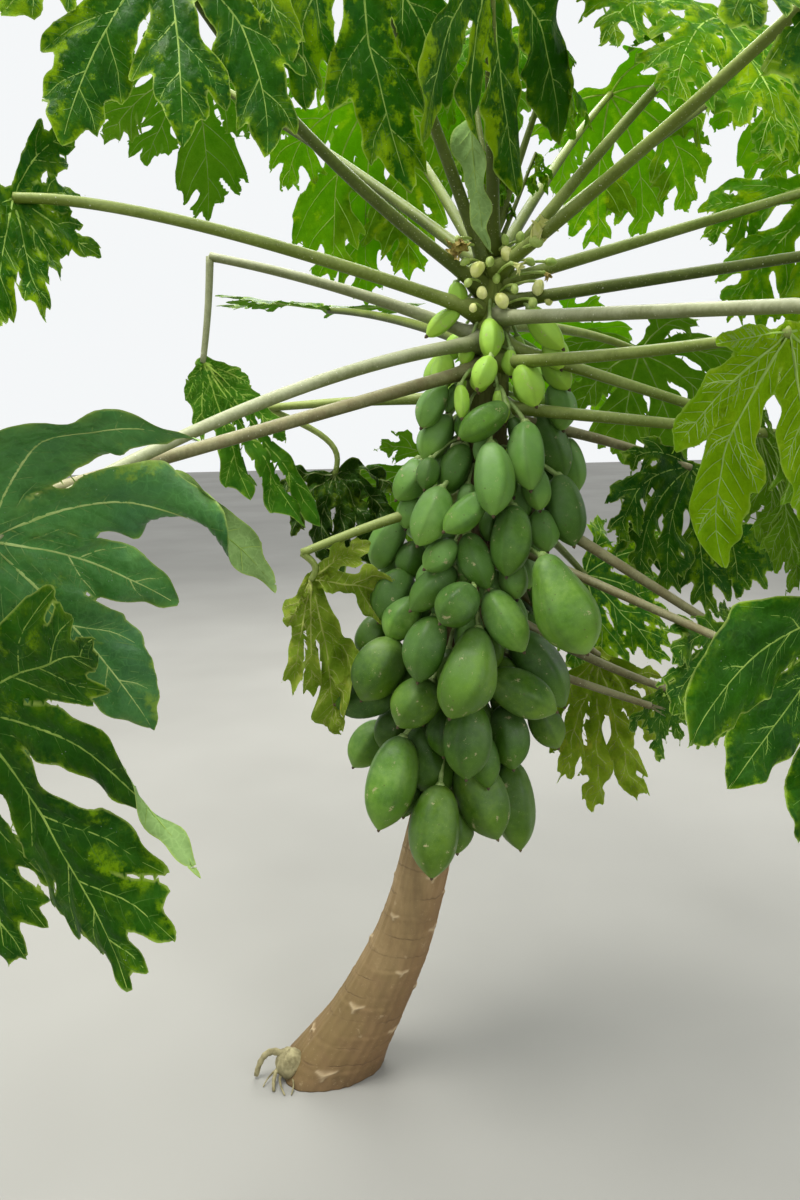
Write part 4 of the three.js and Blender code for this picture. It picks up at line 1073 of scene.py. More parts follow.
def bark_material():
    n = Nodes("bark")
    streak = n.noise(60.0, 5, 0.6, stretch=(1, 1, 0.10))
    broad = n.noise(8.0, 4, 0.55)
    col = n.ramp(n.maths("ADD", n.maths("MULTIPLY", streak, 0.3), n.maths("MULTIPLY", broad, 0.7)), [(0.36, srgb(120, 100, 68)), (0.5, srgb(146, 124, 86)), (0.66, srgb(172, 148, 108))])
    # warmer and darker on the leaning side, green film low on the other
    warm = n.value(n.maths("ADD", n.attr("side"), n.maths("MULTIPLY", n.noise(9.0, 3), 0.9)), 0.45, 1.45)
    col = n.mix(n.maths("MULTIPLY", warm, 0.6), col, srgb(128, 96, 66))
    low = n.value(n.attr("high"), 0.05, 0.42, 1.0, 0.0)
    green = n.maths("MULTIPLY", low, n.value(n.maths("SUBTRACT", n.noise(16.0, 4), n.maths("MULTIPLY", n.attr("side"), 0.18)), 0.44, 0.62))
    col = n.mix(n.maths("MULTIPLY", green, 0.5), col, srgb(120, 116, 62))
    col = n.mix(n.maths("MULTIPLY", n.value(n.attr("high"), 0.10, 0.50, 1.0, 0.0), n.value(broad, 0.3, 0.6, 0.45, 0.75)), col, srgb(112, 86, 56))
    soil = n.maths("MULTIPLY", n.value(n.attr("high"), 0.0, 0.06, 1.0, 0.0), n.value(n.noise(30.0, 4), 0.35, 0.6))
    col = n.mix(n.maths("MULTIPLY", soil, 0.6), col, srgb(84, 66, 46))
    # thin ring lines, and soft bands of painted shade that darken towards each line, where the trunk dips between its
    # bulges
    turn = n.maths("FRACT", n.maths("ADD", n.attr("lap"), n.maths("MULTIPLY", n.noise(24.0, 3), 0.16)))
    near = n.value(n.noise(13.0, 3), 0.42, 0.60)
    dark = n.maths("MULTIPLY", n.value(n.maths("ABSOLUTE", n.maths("SUBTRACT", turn, 0.5)), 0.455, 0.492), near)
    band_shade = n.value(n.maths("ABSOLUTE", n.maths("SUBTRACT", turn, 0.5)), 0.1, 0.5)
    col = n.mix(n.maths("MULTIPLY", band_shade, 0.12), col, srgb(112, 90, 62))
    col = n.mix(n.maths("MULTIPLY", dark, 0.5), col, srgb(86, 66, 46))
    col = n.mix(n.maths("MULTIPLY", n.attr("scar"), 0.6), col, srgb(200, 180, 144))
    patch = n.value(n.noise(34.0, 5, 0.7), 0.62, 0.70)
    col = n.mix(n.maths("MULTIPLY", patch, 0.4), col, srgb(188, 168, 132))
    # small pale lenticels and darker specks
    dot = n.value(n.voronoi(95.0, stretch=(1, 1, 1.8)), 0.07, 0.13, 1.0, 0.0)
    col = n.mix(n.maths("MULTIPLY", dot, 0.5), col, srgb(168, 148, 112))
    speck = n.value(n.voronoi(240.0), 0.06, 0.14, 1.0, 0.0)
    col = n.mix(n.maths("MULTIPLY", speck, 0.3), col, srgb(70, 54, 36))
    # green towards the tip
    top = n.value(n.maths("ADD", n.attr("high"), n.maths("MULTIPLY", n.noise(20.0, 3), 0.12)), 1.40, 1.62)
    col = n.mix(top, col, n.mix(streak, srgb(92, 110, 40), srgb(132, 146, 66)))
    shade = n.maths("MULTIPLY", n.value(n.attr("high"), 0.62, 0.80), n.value(n.attr("high"), 1.62, 1.45))
    col = n.mix(n.maths("MULTIPLY", shade, 0.5), col, srgb(58, 56, 28))
    ring = n.noise(26.0, 3, 0.5, stretch=(0.12, 0.12, 1.0))
    h = n.maths("ADD", n.maths("MULTIPLY", streak, 0.5), n.maths("ADD", n.maths("MULTIPLY", ring, 0.6), n.maths("MULTIPLY", n.noise(300.0, 3), 0.25)))
    h = n.maths("SUBTRACT", h, n.maths("MULTIPLY", dark, 0.8))
    return n.finish(col, n.value(streak, 0.3, 0.7, 0.66, 0.86), n.bump(h, 0.5, 0.0022), specular=0.25)


M["bark"] = bark_material()
tv, tf, ta = build_trunk()
trunk = make_mesh("trunk_fine", tv, tf, [M["bark"]], attrs=ta)
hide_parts("trunk")
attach(trunk, "root")


def knob():
    """Rounded root knob beside the foot, split by two cracks, with an arched surface root and a few short strands."""
    b = Bag()
    n, m = 44, 60
    th = np.linspace(0, 2.45, n)
    ph = np.linspace(0, 2 * math.pi, m, endpoint=False)
    T, P = np.meshgrid(th, ph, indexing="ij")
    r = 1 + 0.04 * np.sin(3 * P + 1) * np.sin(T) + 0.02 * np.sin(7 * P + 3 * T) * np.sin(T)
    sx, sy, sz = np.sin(T) * np.cos(P), np.sin(T) * np.sin(P), np.cos(T)
    # cracks: planes that cut the round, wavering a little
    for ax, ay, az, off in ((0.8, 0.2, 0.5, 0.22), (0.1, 0.9, -0.8, -0.05), (-0.9, 0.3, 0.35, 0.30)):
        q = sx * ax + sy * ay + sz * az - off + 0.05 * np.sin(5 * P + 4 * T)
        r = r - 0.075 * np.exp(-((q / 0.035) ** 2))
    x0, y0 = -0.100, -0.038
    v = np.stack([x0 + 0.033 * r * sx, y0 + 0.032 * r * sy, 0.031 + 0.034 * r * sz], -1)
    v[..., 2] = np.maximum(v[..., 2], 0.0)
    v = v.reshape(-1, 3)
    v = np.concatenate([v, [[x0, y0, 0.0]]])
    i = np.arange(n - 1)[:, None] * m
    j = np.arange(m)[None]
    k = (j + 1) % m
    q0, q1, q2, q3 = (i + j).ravel(), (i + m + j).ravel(), (i + m + k).ravel(), (i + k).ravel()
    e = (n - 1) * m + np.arange(m)
    e2 = (n - 1) * m + (np.arange(m) + 1) % m
    b.add(v, np.concatenate([np.stack([q0, q1, q2], 1), np.stack([q0, q2, q3], 1), np.stack([e, np.full(m, len(v) - 1), e2], 1)]), 0)
    t = np.linspace(0, 1, 22)[:, None]

    def bow(a, top, e, r0, r1):
        a, top, e = np.array(a), np.array(top), np.array(e)
        p = (1 - t) ** 2 * a + 2 * t * (1 - t) * top + t * t * e
        p[:, 2] = np.maximum(p[:, 2], 0.8 * r1)
        tv, tf = tube(p, np.linspace(r0, r1, 22) * (1 + 0.10 * np.sin(np.arange(22) * 1.7)), 10)
        tv[:, 2] = np.maximum(tv[:, 2], 0.0003)
        b.add(tv, tf, 0)

    bow((-0.112, -0.038, 0.052), (-0.158, -0.036, 0.082), (-0.176, -0.045, 0.006), 0.0082, 0.0058)
    bow((-0.124, -0.050, 0.026), (-0.136, -0.064, 0.020), (-0.130, -0.092, 0.002), 0.0052, 0.0034)
    bow((-0.118, -0.060, 0.016), (-0.122, -0.080, 0.018), (-0.104, -0.104, 0.001), 0.0036, 0.0016)
    bow((-0.128, -0.044, 0.020), (-0.148, -0.056, 0.012), (-0.156, -0.076, 0.001), 0.0026, 0.0012)
    bow((-0.090, -0.068, 0.012), (-0.084, -0.084, 0.010), (-0.090, -0.104, 0.001), 0.0024, 0.0012)
    return b


root = knob().object("root_knob_fine", [plain_material("root_skin", srgb(112, 104, 70), srgb(160, 152, 112), 48, 0.85, 0.6)])
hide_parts("trunk")
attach(root, "root")

# ---------------------------------------------------------------- fruit
# seen fruit: centre u, v, length and width in pixels, then lean of the axis from plumb in degrees (+ leans its tip right)
FRUIT = [
    (458, 295, 26, 20, 10), (443, 323, 44, 19, -50), (490, 339, 44, 23, 0), (484, 373, 38, 24, -23), (444, 369, 36, 23, -8), (461, 402, 37, 16, 3),
    (528, 386, 47, 30, 20), (548, 325, 52, 24, 38), (557, 350, 34, 24, 20), (559, 370, 40, 24, 35), (433, 407, 50, 28, -29), (437, 436, 50, 32, -29),
    (560, 405, 46, 29, 12), (483, 422, 62, 32, -54), (528, 456, 73, 37, 3), (554, 445, 66, 32, 20), (575, 461, 55, 28, 14), (492, 479, 78, 41, 1),
    (456, 467, 52, 31, -24), (428, 473, 33, 23, -12), (409, 479, 45, 31, -33), (538, 487, 44, 28, 8), (567, 510, 72, 39, 12), (545, 530, 42, 29, 10),
    (510, 541, 75, 42, -7), (430, 516, 64, 38, -23), (464, 513, 58, 31, -47), (410, 510, 35, 25, -14), (411, 560, 38, 30, -18), (440, 555, 42, 30, -48),
    (478, 561, 60, 33, 20), (516, 578, 42, 28, 5), (433, 589, 62, 33, -46), (457, 605, 52, 42, -43), (506, 621, 72, 40, 29), (558, 604, 105, 62, 24),
    (427, 649, 70, 43, -16), (464, 672, 97, 58, -19), (541, 670, 85, 45, 33), (523, 694, 75, 44, 62), (468, 741, 76, 48, -3), (510, 739, 62, 38, 8),
    (549, 727, 50, 32, 27), (415, 705, 55, 44, -37), (430, 762, 75, 48, 20), (483, 799, 84, 50, 20), (436, 832, 90, 50, -6), (391, 784, 93, 50, -15),
    (517, 808, 85, 40, 6), (368, 747, 52, 34, -34), (364, 703, 56, 38, -84), (379, 670, 70, 50, -30), (372, 637, 45, 35, -25), (393, 596, 58, 38, -29),
    (403, 620, 50, 35, -32), (392, 733, 45, 34, -10),
]
KIND = {5: 2, 13: 1, 12: 1, 10: 1, 11: 1, 4: 2, 16: 1}  # young ones and older ones near the tip
PEARS = {35: 0.75, 37: 0.45}  # fruit with a neck
FORE = {35: -0.225}  # fruit that hang well out in front
# per fruit tone: 0 yellower and darker, 1 bluer and lighter; partly the fruit's own colour, partly painted sky sheen
TONE_AND_SHEEN = {35: 0.05, 46: 0.0, 45: 0.15, 37: 0.8, 17: 1.0, 36: 0.7, 24: 0.6, 14: 0.9, 13: 0.2}  # 0 yellower, 1 bluer
# how far behind the front row a seen fruit hangs
RANK = {35: -3.4, 37: -0.5, 4: 1, 7: 1, 8: 1, 9: 1, 11: 1, 12: 1, 15: 1, 16: 2, 18: 1, 19: 0.5, 20: 1, 21: 1, 22: 0.5, 23: 1, 25: 0.5, 27: 1.5, 28: 1, 29: 0.5, 30: 0.5, 31: 1, 32: 0.5,
        38: 1, 39: 0.3, 40: 0.7, 41: 1.2, 42: 1.5, 43: 0.8, 44: 0.8, 45: 0.6, 46: 0.4, 47: 0.6, 48: 1.2, 49: 1.5, 50: 1.2, 51: 0.3, 52: 1.2, 53: 0.8, 54: 0.6, 55: 1.5}
COLUMN = np.array([(0.50, 0.07), (0.62, 0.11), (0.75, 0.145), (0.9, 0.17), (1.05, 0.18), (1.2, 0.165), (1.35, 0.15), (1.5, 0.12), (1.62, 0.09), (1.75, 0.05)])
SIZE_AT = np.array([(0.55, 0.175, 0.1), (0.8, 0.15, 0.09), (1.0, 0.15, 0.085), (1.2, 0.115, 0.065), (1.4, 0.1, 0.056), (1.6, 0.075, 0.045)])

fruits = []  # centre, axis (stalk end to tip), length, width, neck
for i, (u, v, ln, wd, lean) in enumerate(FRUIT):
    D = 1.85
    for _ in range(6):
        P = spot(u, v, D)
        ax = trunk_at(min(max(P[2], 0), 1.79))
        xo = P[0] - ax[0]
        rho = max(np.interp(P[2], COLUMN[:, 0], COLUMN[:, 1]), abs(xo) + 0.004)
        yo = -math.sqrt(max(rho ** 2 - xo ** 2, 0))
        P = spot_y(u, v, yo)
        D = depth_of(P)
    s = D / FOCAL_PX
    a = rad(lean)
    out = unit(np.array([xo, yo, 0.0]))
    axis = unit(-math.cos(a) * CAM_U + math.sin(a) * CAM_R + 0.22 * (out @ CAM_F) * CAM_F)
    rank = RANK.get(i, 0)
    grow = 1 + 0.07 * min(max(rank, 0), 1)
    fruits.append([P + CAM_F * 0.022 * rank, axis, ln * s * grow, wd * s * grow, PEARS.get(i, 0.0), rank])

g = np.random.default_rng(5)
k = 0
for z in np.arange(0.66, 1.62, 0.0105):
    az = (k * 137.5) % 360
    k += 1
    rho = np.interp(z, COLUMN[:, 0], COLUMN[:, 1])
    front = math.sin(rad(az)) < 0.1
    ln = np.interp(z, SIZE_AT[:, 0], SIZE_AT[:, 1]) * g.uniform(0.8, 1.12)
    wd = np.interp(z, SIZE_AT[:, 0], SIZE_AT[:, 2]) * g.uniform(0.85, 1.12)
    if front:
        rho, ln, wd = rho * 0.62, ln * 0.72, wd * 0.72
    out = np.array([math.cos(rad(az)), math.sin(rad(az)), 0])
    P = trunk_at(z) + out * rho
    axis = unit(-UP + 0.35 * out + g.normal(0, 0.12, 3))
    fruits.append([P, axis, ln, wd, 0.25 if g.random() < 0.2 else 0.0, None])


def spread():
    """Moves fruit apart where they press into each other: the seen ones only along the view, in the order of their rows."""
    C = np.array([f[0] for f in fruits])
    C0 = C.copy()
    AX = np.array([f[1] for f in fruits])
    LN = np.array([f[2] for f in fruits])
    WD = np.array([f[3] for f in fruits])
    seen = np.array([f[5] is not None for f in fruits])
    rank = np.array([f[5] if f[5] is not None else 9.0 for f in fruits])
    offs = np.array([-0.30, 0.0, 0.30])
    fat = np.array([0.72, 1.0, 0.72])
    for _ in range(90):
        S = C[:, None] + AX[:, None] * (offs[None, :, None] * LN[:, None, None])
        Rd = WD[:, None] * 0.5 * fat[None]
        push = np.zeros_like(C)
        for a in range(len(C)):
            d = S[a][:, None, None, :] - S[None]  # 3, n, 3, 3
            dist = np.linalg.norm(d, axis=-1)
            need = (Rd[a][:, None, None] + Rd[None]) * 0.93
            over = np.clip(need - dist, 0, None)
            over[:, a] = 0
            if not seen[a]:
                push[a] += (d / (dist[..., None] + 1e-9) * over[..., None]).sum((0, 1, 2)) * 0.14
                continue
            z = d @ CAM_F
            flat = np.sqrt(np.clip(dist ** 2 - z ** 2, 0, None))
            want = np.sqrt(np.clip(need ** 2 - flat ** 2, 0, None))
            dr = rank[a] - rank
            sign = np.where(np.abs(dr)[None, :, None] > 0.15, np.sign(dr)[None, :, None], np.sign(z + 1e-6))
            miss = np.where(want > 0, want - sign * z, 0)
            miss = np.where(seen[None, :, None], np.clip(miss, 0, None), 0)
            miss[:, a] = 0
            m = miss.max((0, 2)) * sign[1, :, 1]
            push[a] += CAM_F * np.clip(m.max() * 0.25 if m.max() > -m.min() else m.min() * 0.25, -0.008, 0.008)
        # keep off the trunk
        ax = np.stack([np.interp(C[:, 2], TRUNK[:, 2], TRUNK[:, 0]), np.zeros(len(C))], 1)
        off = C[:, :2] - ax
        dd = np.linalg.norm(off, axis=1)
        need = np.interp(C[:, 2], TRUNK[:, 2], TRUNK[:, 3]) + WD * 0.48
        free = ~seen
        push[free, :2] += (off / (dd[:, None] + 1e-9) * np.clip(need - dd, 0, None)[:, None] * 0.3)[free]
        C = C + np.clip(push, -0.02, 0.02)
        move = (C - C0) @ CAM_F
        C = np.where(seen[:, None], C0 + np.clip(move, -0.05, 0.09)[:, None] * CAM_F, C)
    for f, c in zip(fruits, C):
        # keep the size seen when the fruit has moved in depth
        if f[5] is not None:
            share = depth_of(c) / depth_of(f[0])
            c = EYE + (f[0] - EYE) * share
            f[2] *= share
            f[3] *= share
        f[0] = c


spread()
for i, y in FORE.items():
    f = fruits[i]
    k = (y - EYE[1]) / (f[0][1] - EYE[1])
    f[0], f[2], f[3] = EYE + (f[0] - EYE) * k, f[2] * k, f[3] * k

PROFILE = [(0, 0), (0.015, 0.24), (0.05, 0.46), (0.11, 0.66), (0.2, 0.82), (0.32, 0.945), (0.45, 1.0), (0.56, 1.0), (0.68, 0.94), (0.78, 0.81), (0.86, 0.63), (0.92, 0.42), (0.96, 0.24), (0.985, 0.13), (1, 0.0)]
NECKED = [(0, 0), (0.02, 0.2), (0.06, 0.36), (0.12, 0.45), (0.2, 0.53), (0.32, 0.7), (0.45, 0.88), (0.56, 0.98), (0.66, 1.0), (0.78, 0.9), (0.86, 0.72), (0.92, 0.5), (0.96, 0.3), (0.985, 0.14), (1, 0.0)]


def fruit_mesh(c, axis, ln, wd, neck, seed, n=26, m=40):
    r = np.random.default_rng(seed)
    t = (1 - np.cos(np.linspace(0, math.pi, n))) / 2
    a = np.interp(t, *zip(*PROFILE))
    b = np.interp(t, *zip(*NECKED))
    prof = a * (1 - neck) + b * neck
    prof = np.convolve(np.concatenate([[prof[0]], prof, [prof[-1]]]), [0.2, 0.6, 0.2], "valid")
    prof[0] = prof[-1] = 0
    side = unit(np.cross(axis, CAM_F if abs(axis @ CAM_F) < 0.9 else UP))
    other = np.cross(axis, side)
    ph = np.linspace(0, 2 * math.pi, m, endpoint=False)
    T, P = np.meshgrid(t, ph, indexing="ij")
    p0 = r.uniform(0, 6.28)
    five = (5 * (P + p0) / 2) % math.pi
    seam = np.exp(-(np.minimum(five, math.pi - five) / 0.34) ** 2)
    rr = prof[:, None] * wd / 2 * (1 + (0.052 * np.cos(5 * (P + p0)) + 0.036 * seam) * np.sin(math.pi * T) ** 0.6 + 0.018 * np.sin(2 * P + p0 * 2) + 0.01 * np.sin(3 * P + 7 * T + p0) - 0.02)
    bow = r.normal(0, 0.025) * ln * np.sin(math.pi * t)
    v = c + (T - 0.5)[..., None] * ln * axis + rr[..., None] * (np.cos(P)[..., None] * side + np.sin(P)[..., None] * other) + bow[:, None, None] * side
    v = v.reshape(-1, 3)
    i = np.arange(n - 1)[:, None] * m
    j = np.arange(m)[None]
    k2 = (j + 1) % m
    q0, q1, q2, q3 = (i + j).ravel(), (i + k2).ravel(), (i + m + k2).ravel(), (i + m + j).ravel()
    f = np.concatenate([np.stack([q0, q1, q2], 1), np.stack([q0, q2, q3], 1)])
    return v, f, T.ravel(), (seam * np.sin(math.pi * T) ** 0.5).ravel()


def fruit_material(name, low, mid, high, bloom_and_sheen):
    n = Nodes(name)
    along, tone_and_light, seam = n.attr("edge"), n.attr("rib"), n.attr("seam")
    broad = n.noise(11.0, 3)
    fine = n.noise(90.0, 4)
    col = n.ramp(n.maths("ADD", n.maths("MULTIPLY", broad, 0.7), n.maths("MULTIPLY", fine, 0.3)), [(0.36, low), (0.5, mid), (0.64, high)])
    # some fruit are bluer and lighter, some yellower and darker, by their tone, which also holds painted light on the
    # side facing the light and painted shade on the far side; all are fresher towards the tip
    col = n.mix(n.value(tone_and_light, 0.45, 1.0, 0, 0.6), col, tuple(c * k for c, k in zip(high, (0.95, 1.06, 1.7))))
    col = n.mix(n.value(tone_and_light, 0.45, 0.0, 0, 0.6), col, tuple(c * k for c, k in zip(mid, (1.0, 0.92, 0.4))))
    col = n.mix(n.value(n.maths("ADD", along, n.maths("MULTIPLY", broad, 0.5)), 0.85, 1.35, 0, 0.45), col, tuple(c * k for c, k in zip(high, (1.12, 1.10, 0.5))))
    # waxy bloom near the stalk, lighter and greyer on the upper part of each fruit, both the fruit's own bloom and
    # painted sky sheen; and tiny pale dots
    wax_and_sheen = n.maths("MULTIPLY", n.value(n.noise(24.0, 5, 0.65), 0.36, 0.66), n.value(along, 0.75, 0.10, 0.25, 1.0))
    col = n.mix(n.maths("MULTIPLY", wax_and_sheen, bloom_and_sheen), col, srgb(134, 158, 118))
    dots = n.value(n.voronoi(330.0), 0.08, 0.16, 1.0, 0.0)
    col = n.mix(n.maths("MULTIPLY", dots, 0.35), col, srgb(158, 186, 116))
    col = n.mix(n.maths("MULTIPLY", seam, 0.34), col, tuple(c * 0.55 for c in low))
    # rubbed scars, sap runs and specks
    scar = n.value(n.noise(46.0, 6, 0.75), 0.62, 0.66)
    col = n.mix(n.maths("MULTIPLY", scar, 0.7), col, srgb(176, 166, 124))
    dark = n.value(n.voronoi(50.0), 0.06, 0.10, 1.0, 0.0)
    col = n.mix(n.maths("MULTIPLY", dark, 0.6), col, srgb(82, 80, 44))
    nor = n.bump(n.maths("ADD", n.noise(130.0, 4), n.maths("MULTIPLY", dots, 0.4)), 0.22, 0.0010)
    return n.finish(col, n.value(fine, 0.3, 0.7, 0.38, 0.56), nor, specular=0.26, coat=0.05, coat_rough=0.3)


M["fruit_ripe"] = fruit_material("fruit_big", srgb(44, 80, 4), srgb(68, 104, 12), srgb(96, 130, 30), 0.26)
M["fruit_mid"] = fruit_material("fruit_mid", srgb(58, 100, 16), srgb(86, 130, 34), srgb(118, 158, 60), 0.38)
M["fruit_young"] = fruit_material("fruit_young", srgb(112, 158, 14), srgb(144, 188, 34), srgb(174, 208, 70), 0.06)
M["fruit_shade"] = fruit_material("fruit_shade", srgb(38, 72, 6), srgb(56, 94, 16), srgb(80, 116, 32), 0.25)
M["peduncle"] = plain_material("peduncle", srgb(120, 148, 72), srgb(162, 184, 112), 60, 0.55)
M["scar_tip"] = plain_material("fruit_tip", srgb(60, 50, 34), srgb(98, 82, 52), 120, 0.85)

tiers = {"fruit_lower": Bag(), "fruit_middle": Bag(), "fruit_upper": Bag()}
g = np.random.default_rng(21)
for i, (c, axis, ln, wd, neck, seen) in enumerate(fruits):
    z = c[2]
    bag = tiers["fruit_lower" if z < 0.958 else "fruit_middle" if z < 1.298 else "fruit_upper"]
    slot = 2 if (z > 1.5 or (z > 1.44 and g.random() < 0.5)) else (1 if z > 1.02 or g.random() < 0.25 else 0)
    if slot < 2 and g.random() < 0.2:
        slot = 3
    slot = KIND.get(i, slot)
    # tone rises with height: upper fruit bluer and lighter, lower ones yellower and darker, partly their own colour and
    # partly painted light from above
    tone_and_light = TONE_AND_SHEEN.get(i, min(1.0, max(0.0, (z - 0.78) / 0.5 + g.normal(0, 0.22))))
    v, f, along, seam = fruit_mesh(c, axis, ln, wd, neck, 900 + i, *((26, 40) if seen is not None else (14, 24)))
    # painted light and shade: the side of each fruit facing up, left and front towards the light gets a higher tone,
    # lighter and bluer, and the far side a lower one, darker and yellower
    painted_light_side = unit(v - c - ((v - c) @ axis)[:, None] * axis * 0.8) @ unit(np.array([-0.65, -0.45, 0.62]))
    bag.add(v, f, slot, along, np.clip(tone_and_light + 0.32 * painted_light_side, 0, 1), seam)
    top, tip = c - axis * ln * 0.5, c + axis * ln * 0.5
    # dry flower scar at the tip
    v, f = tube(np.stack([tip - axis * 0.004, tip + axis * 0.001, tip + axis * 0.004]), [0.0042, 0.0035, 0.0012], 7)
    bag.add(v, f, 5)
    # stalk back to the trunk
    h = min(top[2] + 0.03 + 0.1 * ln, 1.78)
    ax = trunk_at(h)
    d = top - ax
    d[2] = 0
    foot = ax + unit(d) * trunk_radius(h) * 0.92
    mid = (foot + top) / 2 + UP * 0.012 - axis * 0.012
    if i == 35:
        mid = top + CAM_F * 0.09 + UP * 0.005
    t = np.linspace(0, 1, 9)[:, None]
    curve = (1 - t) ** 2 * foot + 2 * t * (1 - t) * mid + t * t * (top + axis * 0.004)
    rr = (0.0042 if ln > 0.1 else 0.003) * np.linspace(0.9, 1.25, 9)
    v, f = tube(curve, rr, 8)
    bag.add(v, f, 4)
    v, f = tube(np.stack([top - axis * 0.004, top + axis * 0.002, top + axis * 0.008]), [rr[-1] * 1.2, rr[-1] * 2.0, rr[-1] * 1.3], 10)
    bag.add(v, f, 4)

for node, bag in tiers.items():
    ob = bag.object(node + "_fine", [M["fruit_ripe"], M["fruit_mid"], M["fruit_young"], M["fruit_shade"], M["peduncle"], M["scar_tip"]])
    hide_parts(node)
    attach(ob, "root")

# ---------------------------------------------------------------- tip: young leaves, buds and flowers
YOUNG = [(-80, 80, 0.33, 0.15), (-10, 70, 0.32, 0.16), (110, 72, 0.34, 0.16)]
tip_at = np.array([0.379, 0, 1.8108])
yb = Bag()
for i, (az, el, ln, R) in enumerate(YOUNG):
    d = np.array([math.cos(rad(az)) * math.cos(rad(el)), math.sin(rad(az)) * math.cos(rad(el)), math.sin(rad(el))])
    start = tip_at + UP * 0.0
    t = np.linspace(0, 1, 12)[:, None]
    p = start + d * ln * t
    v, f = tube(p, np.linspace(0.009, 0.0045, 12), 10)
    yb.add(v, f, 5)
    Blade(p[-1], R, az, 62, 0, 0.8, 0.9, 300 + i, 0.5, 0.0065, 3.0, 0.2).build(yb, (0, 1, 2, 3, 4), veins=1)
# tightly folded new leaves round the bud
g = np.random.default_rng(31)
for i in range(9):
    az = i * 137.5
    el = 60 + 4 * i % 28
    ln = 0.05 + 0.018 * i
    d = np.array([math.cos(rad(az)) * math.cos(rad(el)), math.sin(rad(az)) * math.cos(rad(el)), math.sin(rad(el))])
    start = tip_at + UP * (0.0 - 0.004 * i) + 0.008 * np.array([d[0], d[1], 0])
    t = np.linspace(0, 1, 8)[:, None]
    p = start + d * ln * t + UP * 0.01 * t ** 2
    v, f = tube(p, np.linspace(0.0055, 0.0028, 8), 8)
    yb.add(v, f, 5)
    Blade(p[-1], 0.035 + 0.006 * i, az, 80, 0, 1.6, 0.45, 340 + i, 0.4, 0.0045, 8.0, 0.5).build(yb, (0, 1, 2, 3, 4), veins=1)
# flowers and buds among the upper stalk bases: u, v, length and width in pixels, lean, kind
M["bud_cream"] = plain_material("bud_cream", srgb(214, 220, 118), srgb(240, 240, 168), 60, 0.5, through=srgb(220, 220, 150), through_share=0.2)
M["bud_green"] = plain_material("bud_green", srgb(140, 168, 70), srgb(180, 198, 108), 60, 0.5)
M["petal_dry"] = plain_material("petal_dry", srgb(140, 118, 50), srgb(196, 178, 96), 90, 0.75)
FLOWERS = [
    (507, 254, 17, 12, 20, "bud"), (478, 270, 19, 14, -35, "bud"), (482, 293, 14, 11, 10, "bud"), (502, 301, 18, 13, 28, "bud"), (539, 288, 18, 12, -14, "bud"),
    (519, 267, 20, 7, 55, "open"), (541, 230, 30, 26, 158, "open"), (546, 227, 30, 24, 140, "open"), (455, 250, 28, 15, -60, "dry"), (461, 246, 22, 12, 20, "dry"), (473, 308, 10, 8, 0, "bud"), (520, 237, 12, 9, 170, "green"), (529, 242, 11, 8, 150, "green"),
    (548, 276, 14, 6, 40, "dry"), (490, 262, 12, 9, -20, "green"), (465, 262, 12, 8, -60, "green"), (533, 303, 12, 9, 10, "green"), (515, 289, 11, 8, 0, "green"), (497, 279, 11, 8, -10, "green"), (530, 262, 12, 8, 60, "green"),
    (551, 262, 13, 9, 80, "green"), (505, 240, 12, 8, 190, "green"), (468, 283, 11, 8, -30, "green"), (548, 300, 13, 9, 20, "bud"),
]
fb = Bag()
g = np.random.default_rng(77)
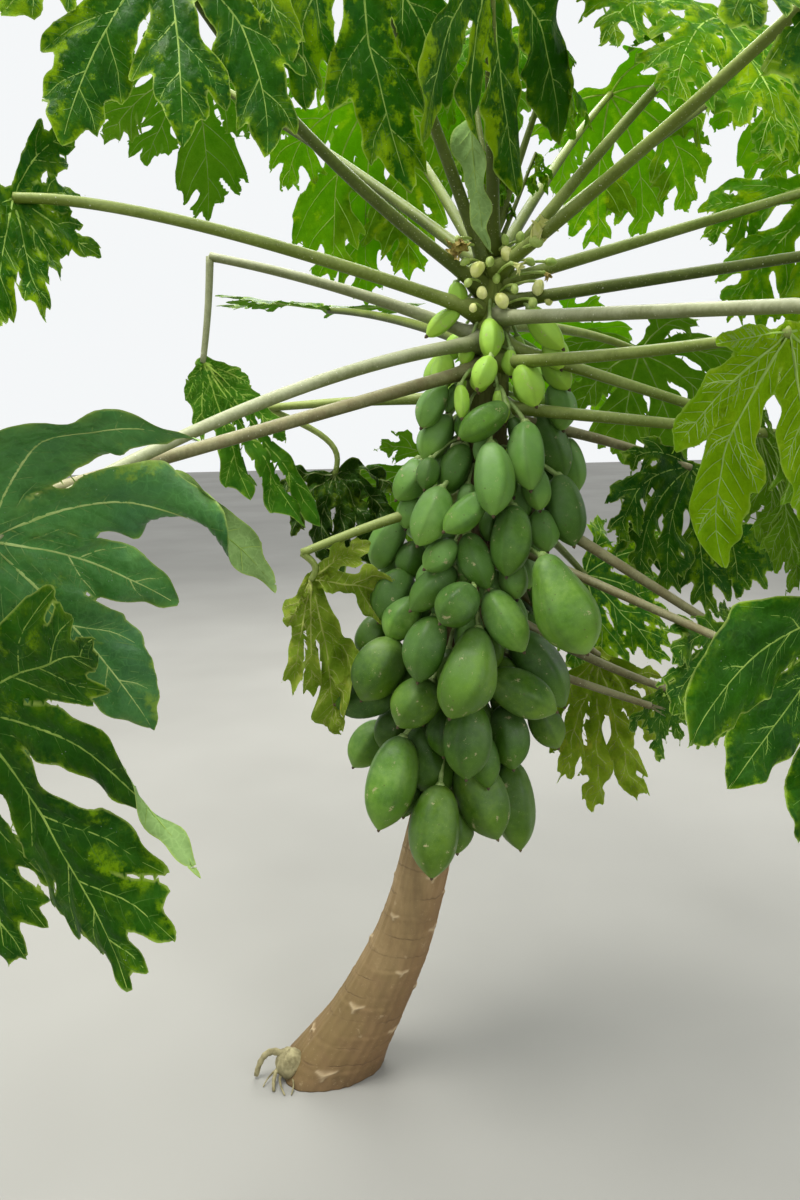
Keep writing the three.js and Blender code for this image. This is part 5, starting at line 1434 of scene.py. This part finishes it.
for u, v0, ln, wd, lean, kind in FLOWERS:
    D = depth_of(trunk_at(1.72)) - 0.055 - 0.02 * g.random() - (0.09 if kind == "open" else 0.0)
    c = spot(u, v0, D)
    sc = D / FOCAL_PX
    a = rad(lean)
    axis = unit(-math.cos(a) * CAM_U + math.sin(a) * CAM_R - 0.25 * CAM_F)
    L, W = ln * sc, wd * sc
    top = c - axis * L * 0.5
    if kind in ("bud", "green"):
        bv, bf, _, _ = fruit_mesh(c, axis, L, W, 0.0, int(u + v0), 14, 20)
        fb.add(bv, bf, 0 if kind == "bud" else 1)
    else:
        side = unit(np.cross(axis, CAM_F))
        up2 = np.cross(axis, side)
        for q in range(5):
            ph = q * 1.2566 + 0.4
            d = math.cos(ph) * side + math.sin(ph) * up2
            t = np.linspace(0, 1, 9)[:, None]
            curl = 0.75 if kind == "open" else 0.8
            p = top + axis * L * (t - 0.35 * t ** 3) + d * L * curl * t ** 2.2 * 0.6
            w = W * 0.36 * np.sin(math.pi * np.clip(0.12 + 0.85 * t[:, 0], 0, 1)) ** 0.7
            e = unit(np.cross(unit(np.gradient(p, axis=0)), d))
            if kind == "dry":
                e = unit(e + 0.5 * g.normal(0, 1, (9, 3)) * t)
            nrm = np.cross(e, unit(np.gradient(p, axis=0)))
            rows = np.stack([p - e * w[:, None], p + nrm * w[:, None] * 0.35, p + e * w[:, None]], 1)
            vv = rows.reshape(-1, 3)
            i0 = np.arange(8)[:, None] * 3
            j0 = np.arange(2)[None]
            a0, a1, a2, a3 = (i0 + j0).ravel(), (i0 + j0 + 1).ravel(), (i0 + 3 + j0 + 1).ravel(), (i0 + 3 + j0).ravel()
            ff = np.concatenate([np.stack([a0, a1, a2], 1), np.stack([a0, a2, a3], 1)])
            fb.add(np.concatenate([vv, vv + nrm.repeat(3, 0) * 0.0005]), np.concatenate([ff, ff[:, ::-1] + len(vv)]), 2 if kind == "dry" else 0)
        bv, bf, _, _ = fruit_mesh(top + axis * L * 0.12, axis, L * 0.4, W * 0.6, 0.0, 5, 10, 14)
        fb.add(bv, bf, 1)
    # short stalk back to the trunk
    h = min(max(top[2] - 0.01, 1.5), 1.80)
    foot = trunk_at(h) + unit((top - trunk_at(h)) * np.array([1, 1, 0])) * trunk_radius(h) * 0.9
    t = np.linspace(0, 1, 7)[:, None]
    p = (1 - t) ** 2 * foot + 2 * t * (1 - t) * ((foot + top) / 2 + UP * 0.012) + t * t * (top + axis * 0.003)
    bv, bf = tube(p, np.linspace(0.0022, 0.0030, 7), 7)
    fb.add(bv, bf, 1)
fo = fb.object("flowers_fine", [M["bud_cream"], M["bud_green"], M["petal_dry"]])
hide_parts("young_leaves")
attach(fo, "root")

yo = yb.object("young_leaves_fine", [M["top_lit"], M["under_lit"], M["vein_lit"], M["vein_lit"], M["vein_fine_lit"], M["stalk_deep"]])
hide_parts("young_leaves")
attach(yo, "root")

# ---------------------------------------------------------------- floor and light
FLOOR = 0.0
bpy.ops.mesh.primitive_plane_add(size=60, location=(0, 0, -0.0005))
floor = bpy.context.object
floor.name = "floor"
fm = plain_material("floor_pale", srgb(140, 139, 133), srgb(150, 149, 143), 0.6, 0.9, 0.02)
floor.data.materials.append(fm)

world = bpy.data.worlds.new("sky")
bpy.context.scene.world = world
world.use_nodes = True
bg = world.node_tree.nodes["Background"]
bg.inputs[0].default_value = (0.96, 0.98, 0.99, 1)
bg.inputs[1].default_value = 0.95


def area(name, loc, look, size, power, colour=(1, 1, 1)):
    l = bpy.data.lights.new(name, "AREA")
    l.shape = "DISK"
    l.size = size
    l.energy = power
    l.color = colour
    o = bpy.data.objects.new(name, l)
    bpy.context.scene.collection.objects.link(o)
    o.location = loc
    o.rotation_euler = (Vector(look) - Vector(loc)).to_track_quat("-Z", "Y").to_euler()


area("key", (-1.0, -0.6, 6.0), (0.3, 0, 1.2), 3.0, 340, (1, 0.985, 0.94))
area("fill", (3.2, -3.2, 3.0), (0.3, 0, 1.0), 3.0, 60, (0.97, 0.98, 1))
area("back", (0.5, 4.0, 5.0), (0.3, 0, 1.6), 3.5, 260, (1, 1, 0.97))

scene = bpy.context.scene
scene.view_settings.view_transform = "Standard"
scene.view_settings.look = "None"
scene.view_settings.exposure = 0.0
# light adds almost nothing after its second bounce among the leaves
scene.cycles.max_bounces = 4
scene.cycles.diffuse_bounces = 2
scene.cycles.glossy_bounces = 2
scene.cycles.transmission_bounces = 2

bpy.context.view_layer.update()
total = sum(len(o.data.polygons) for o in bpy.context.scene.objects if o.type == "MESH" and not o.hide_render)
print("TRIANGLES", total)
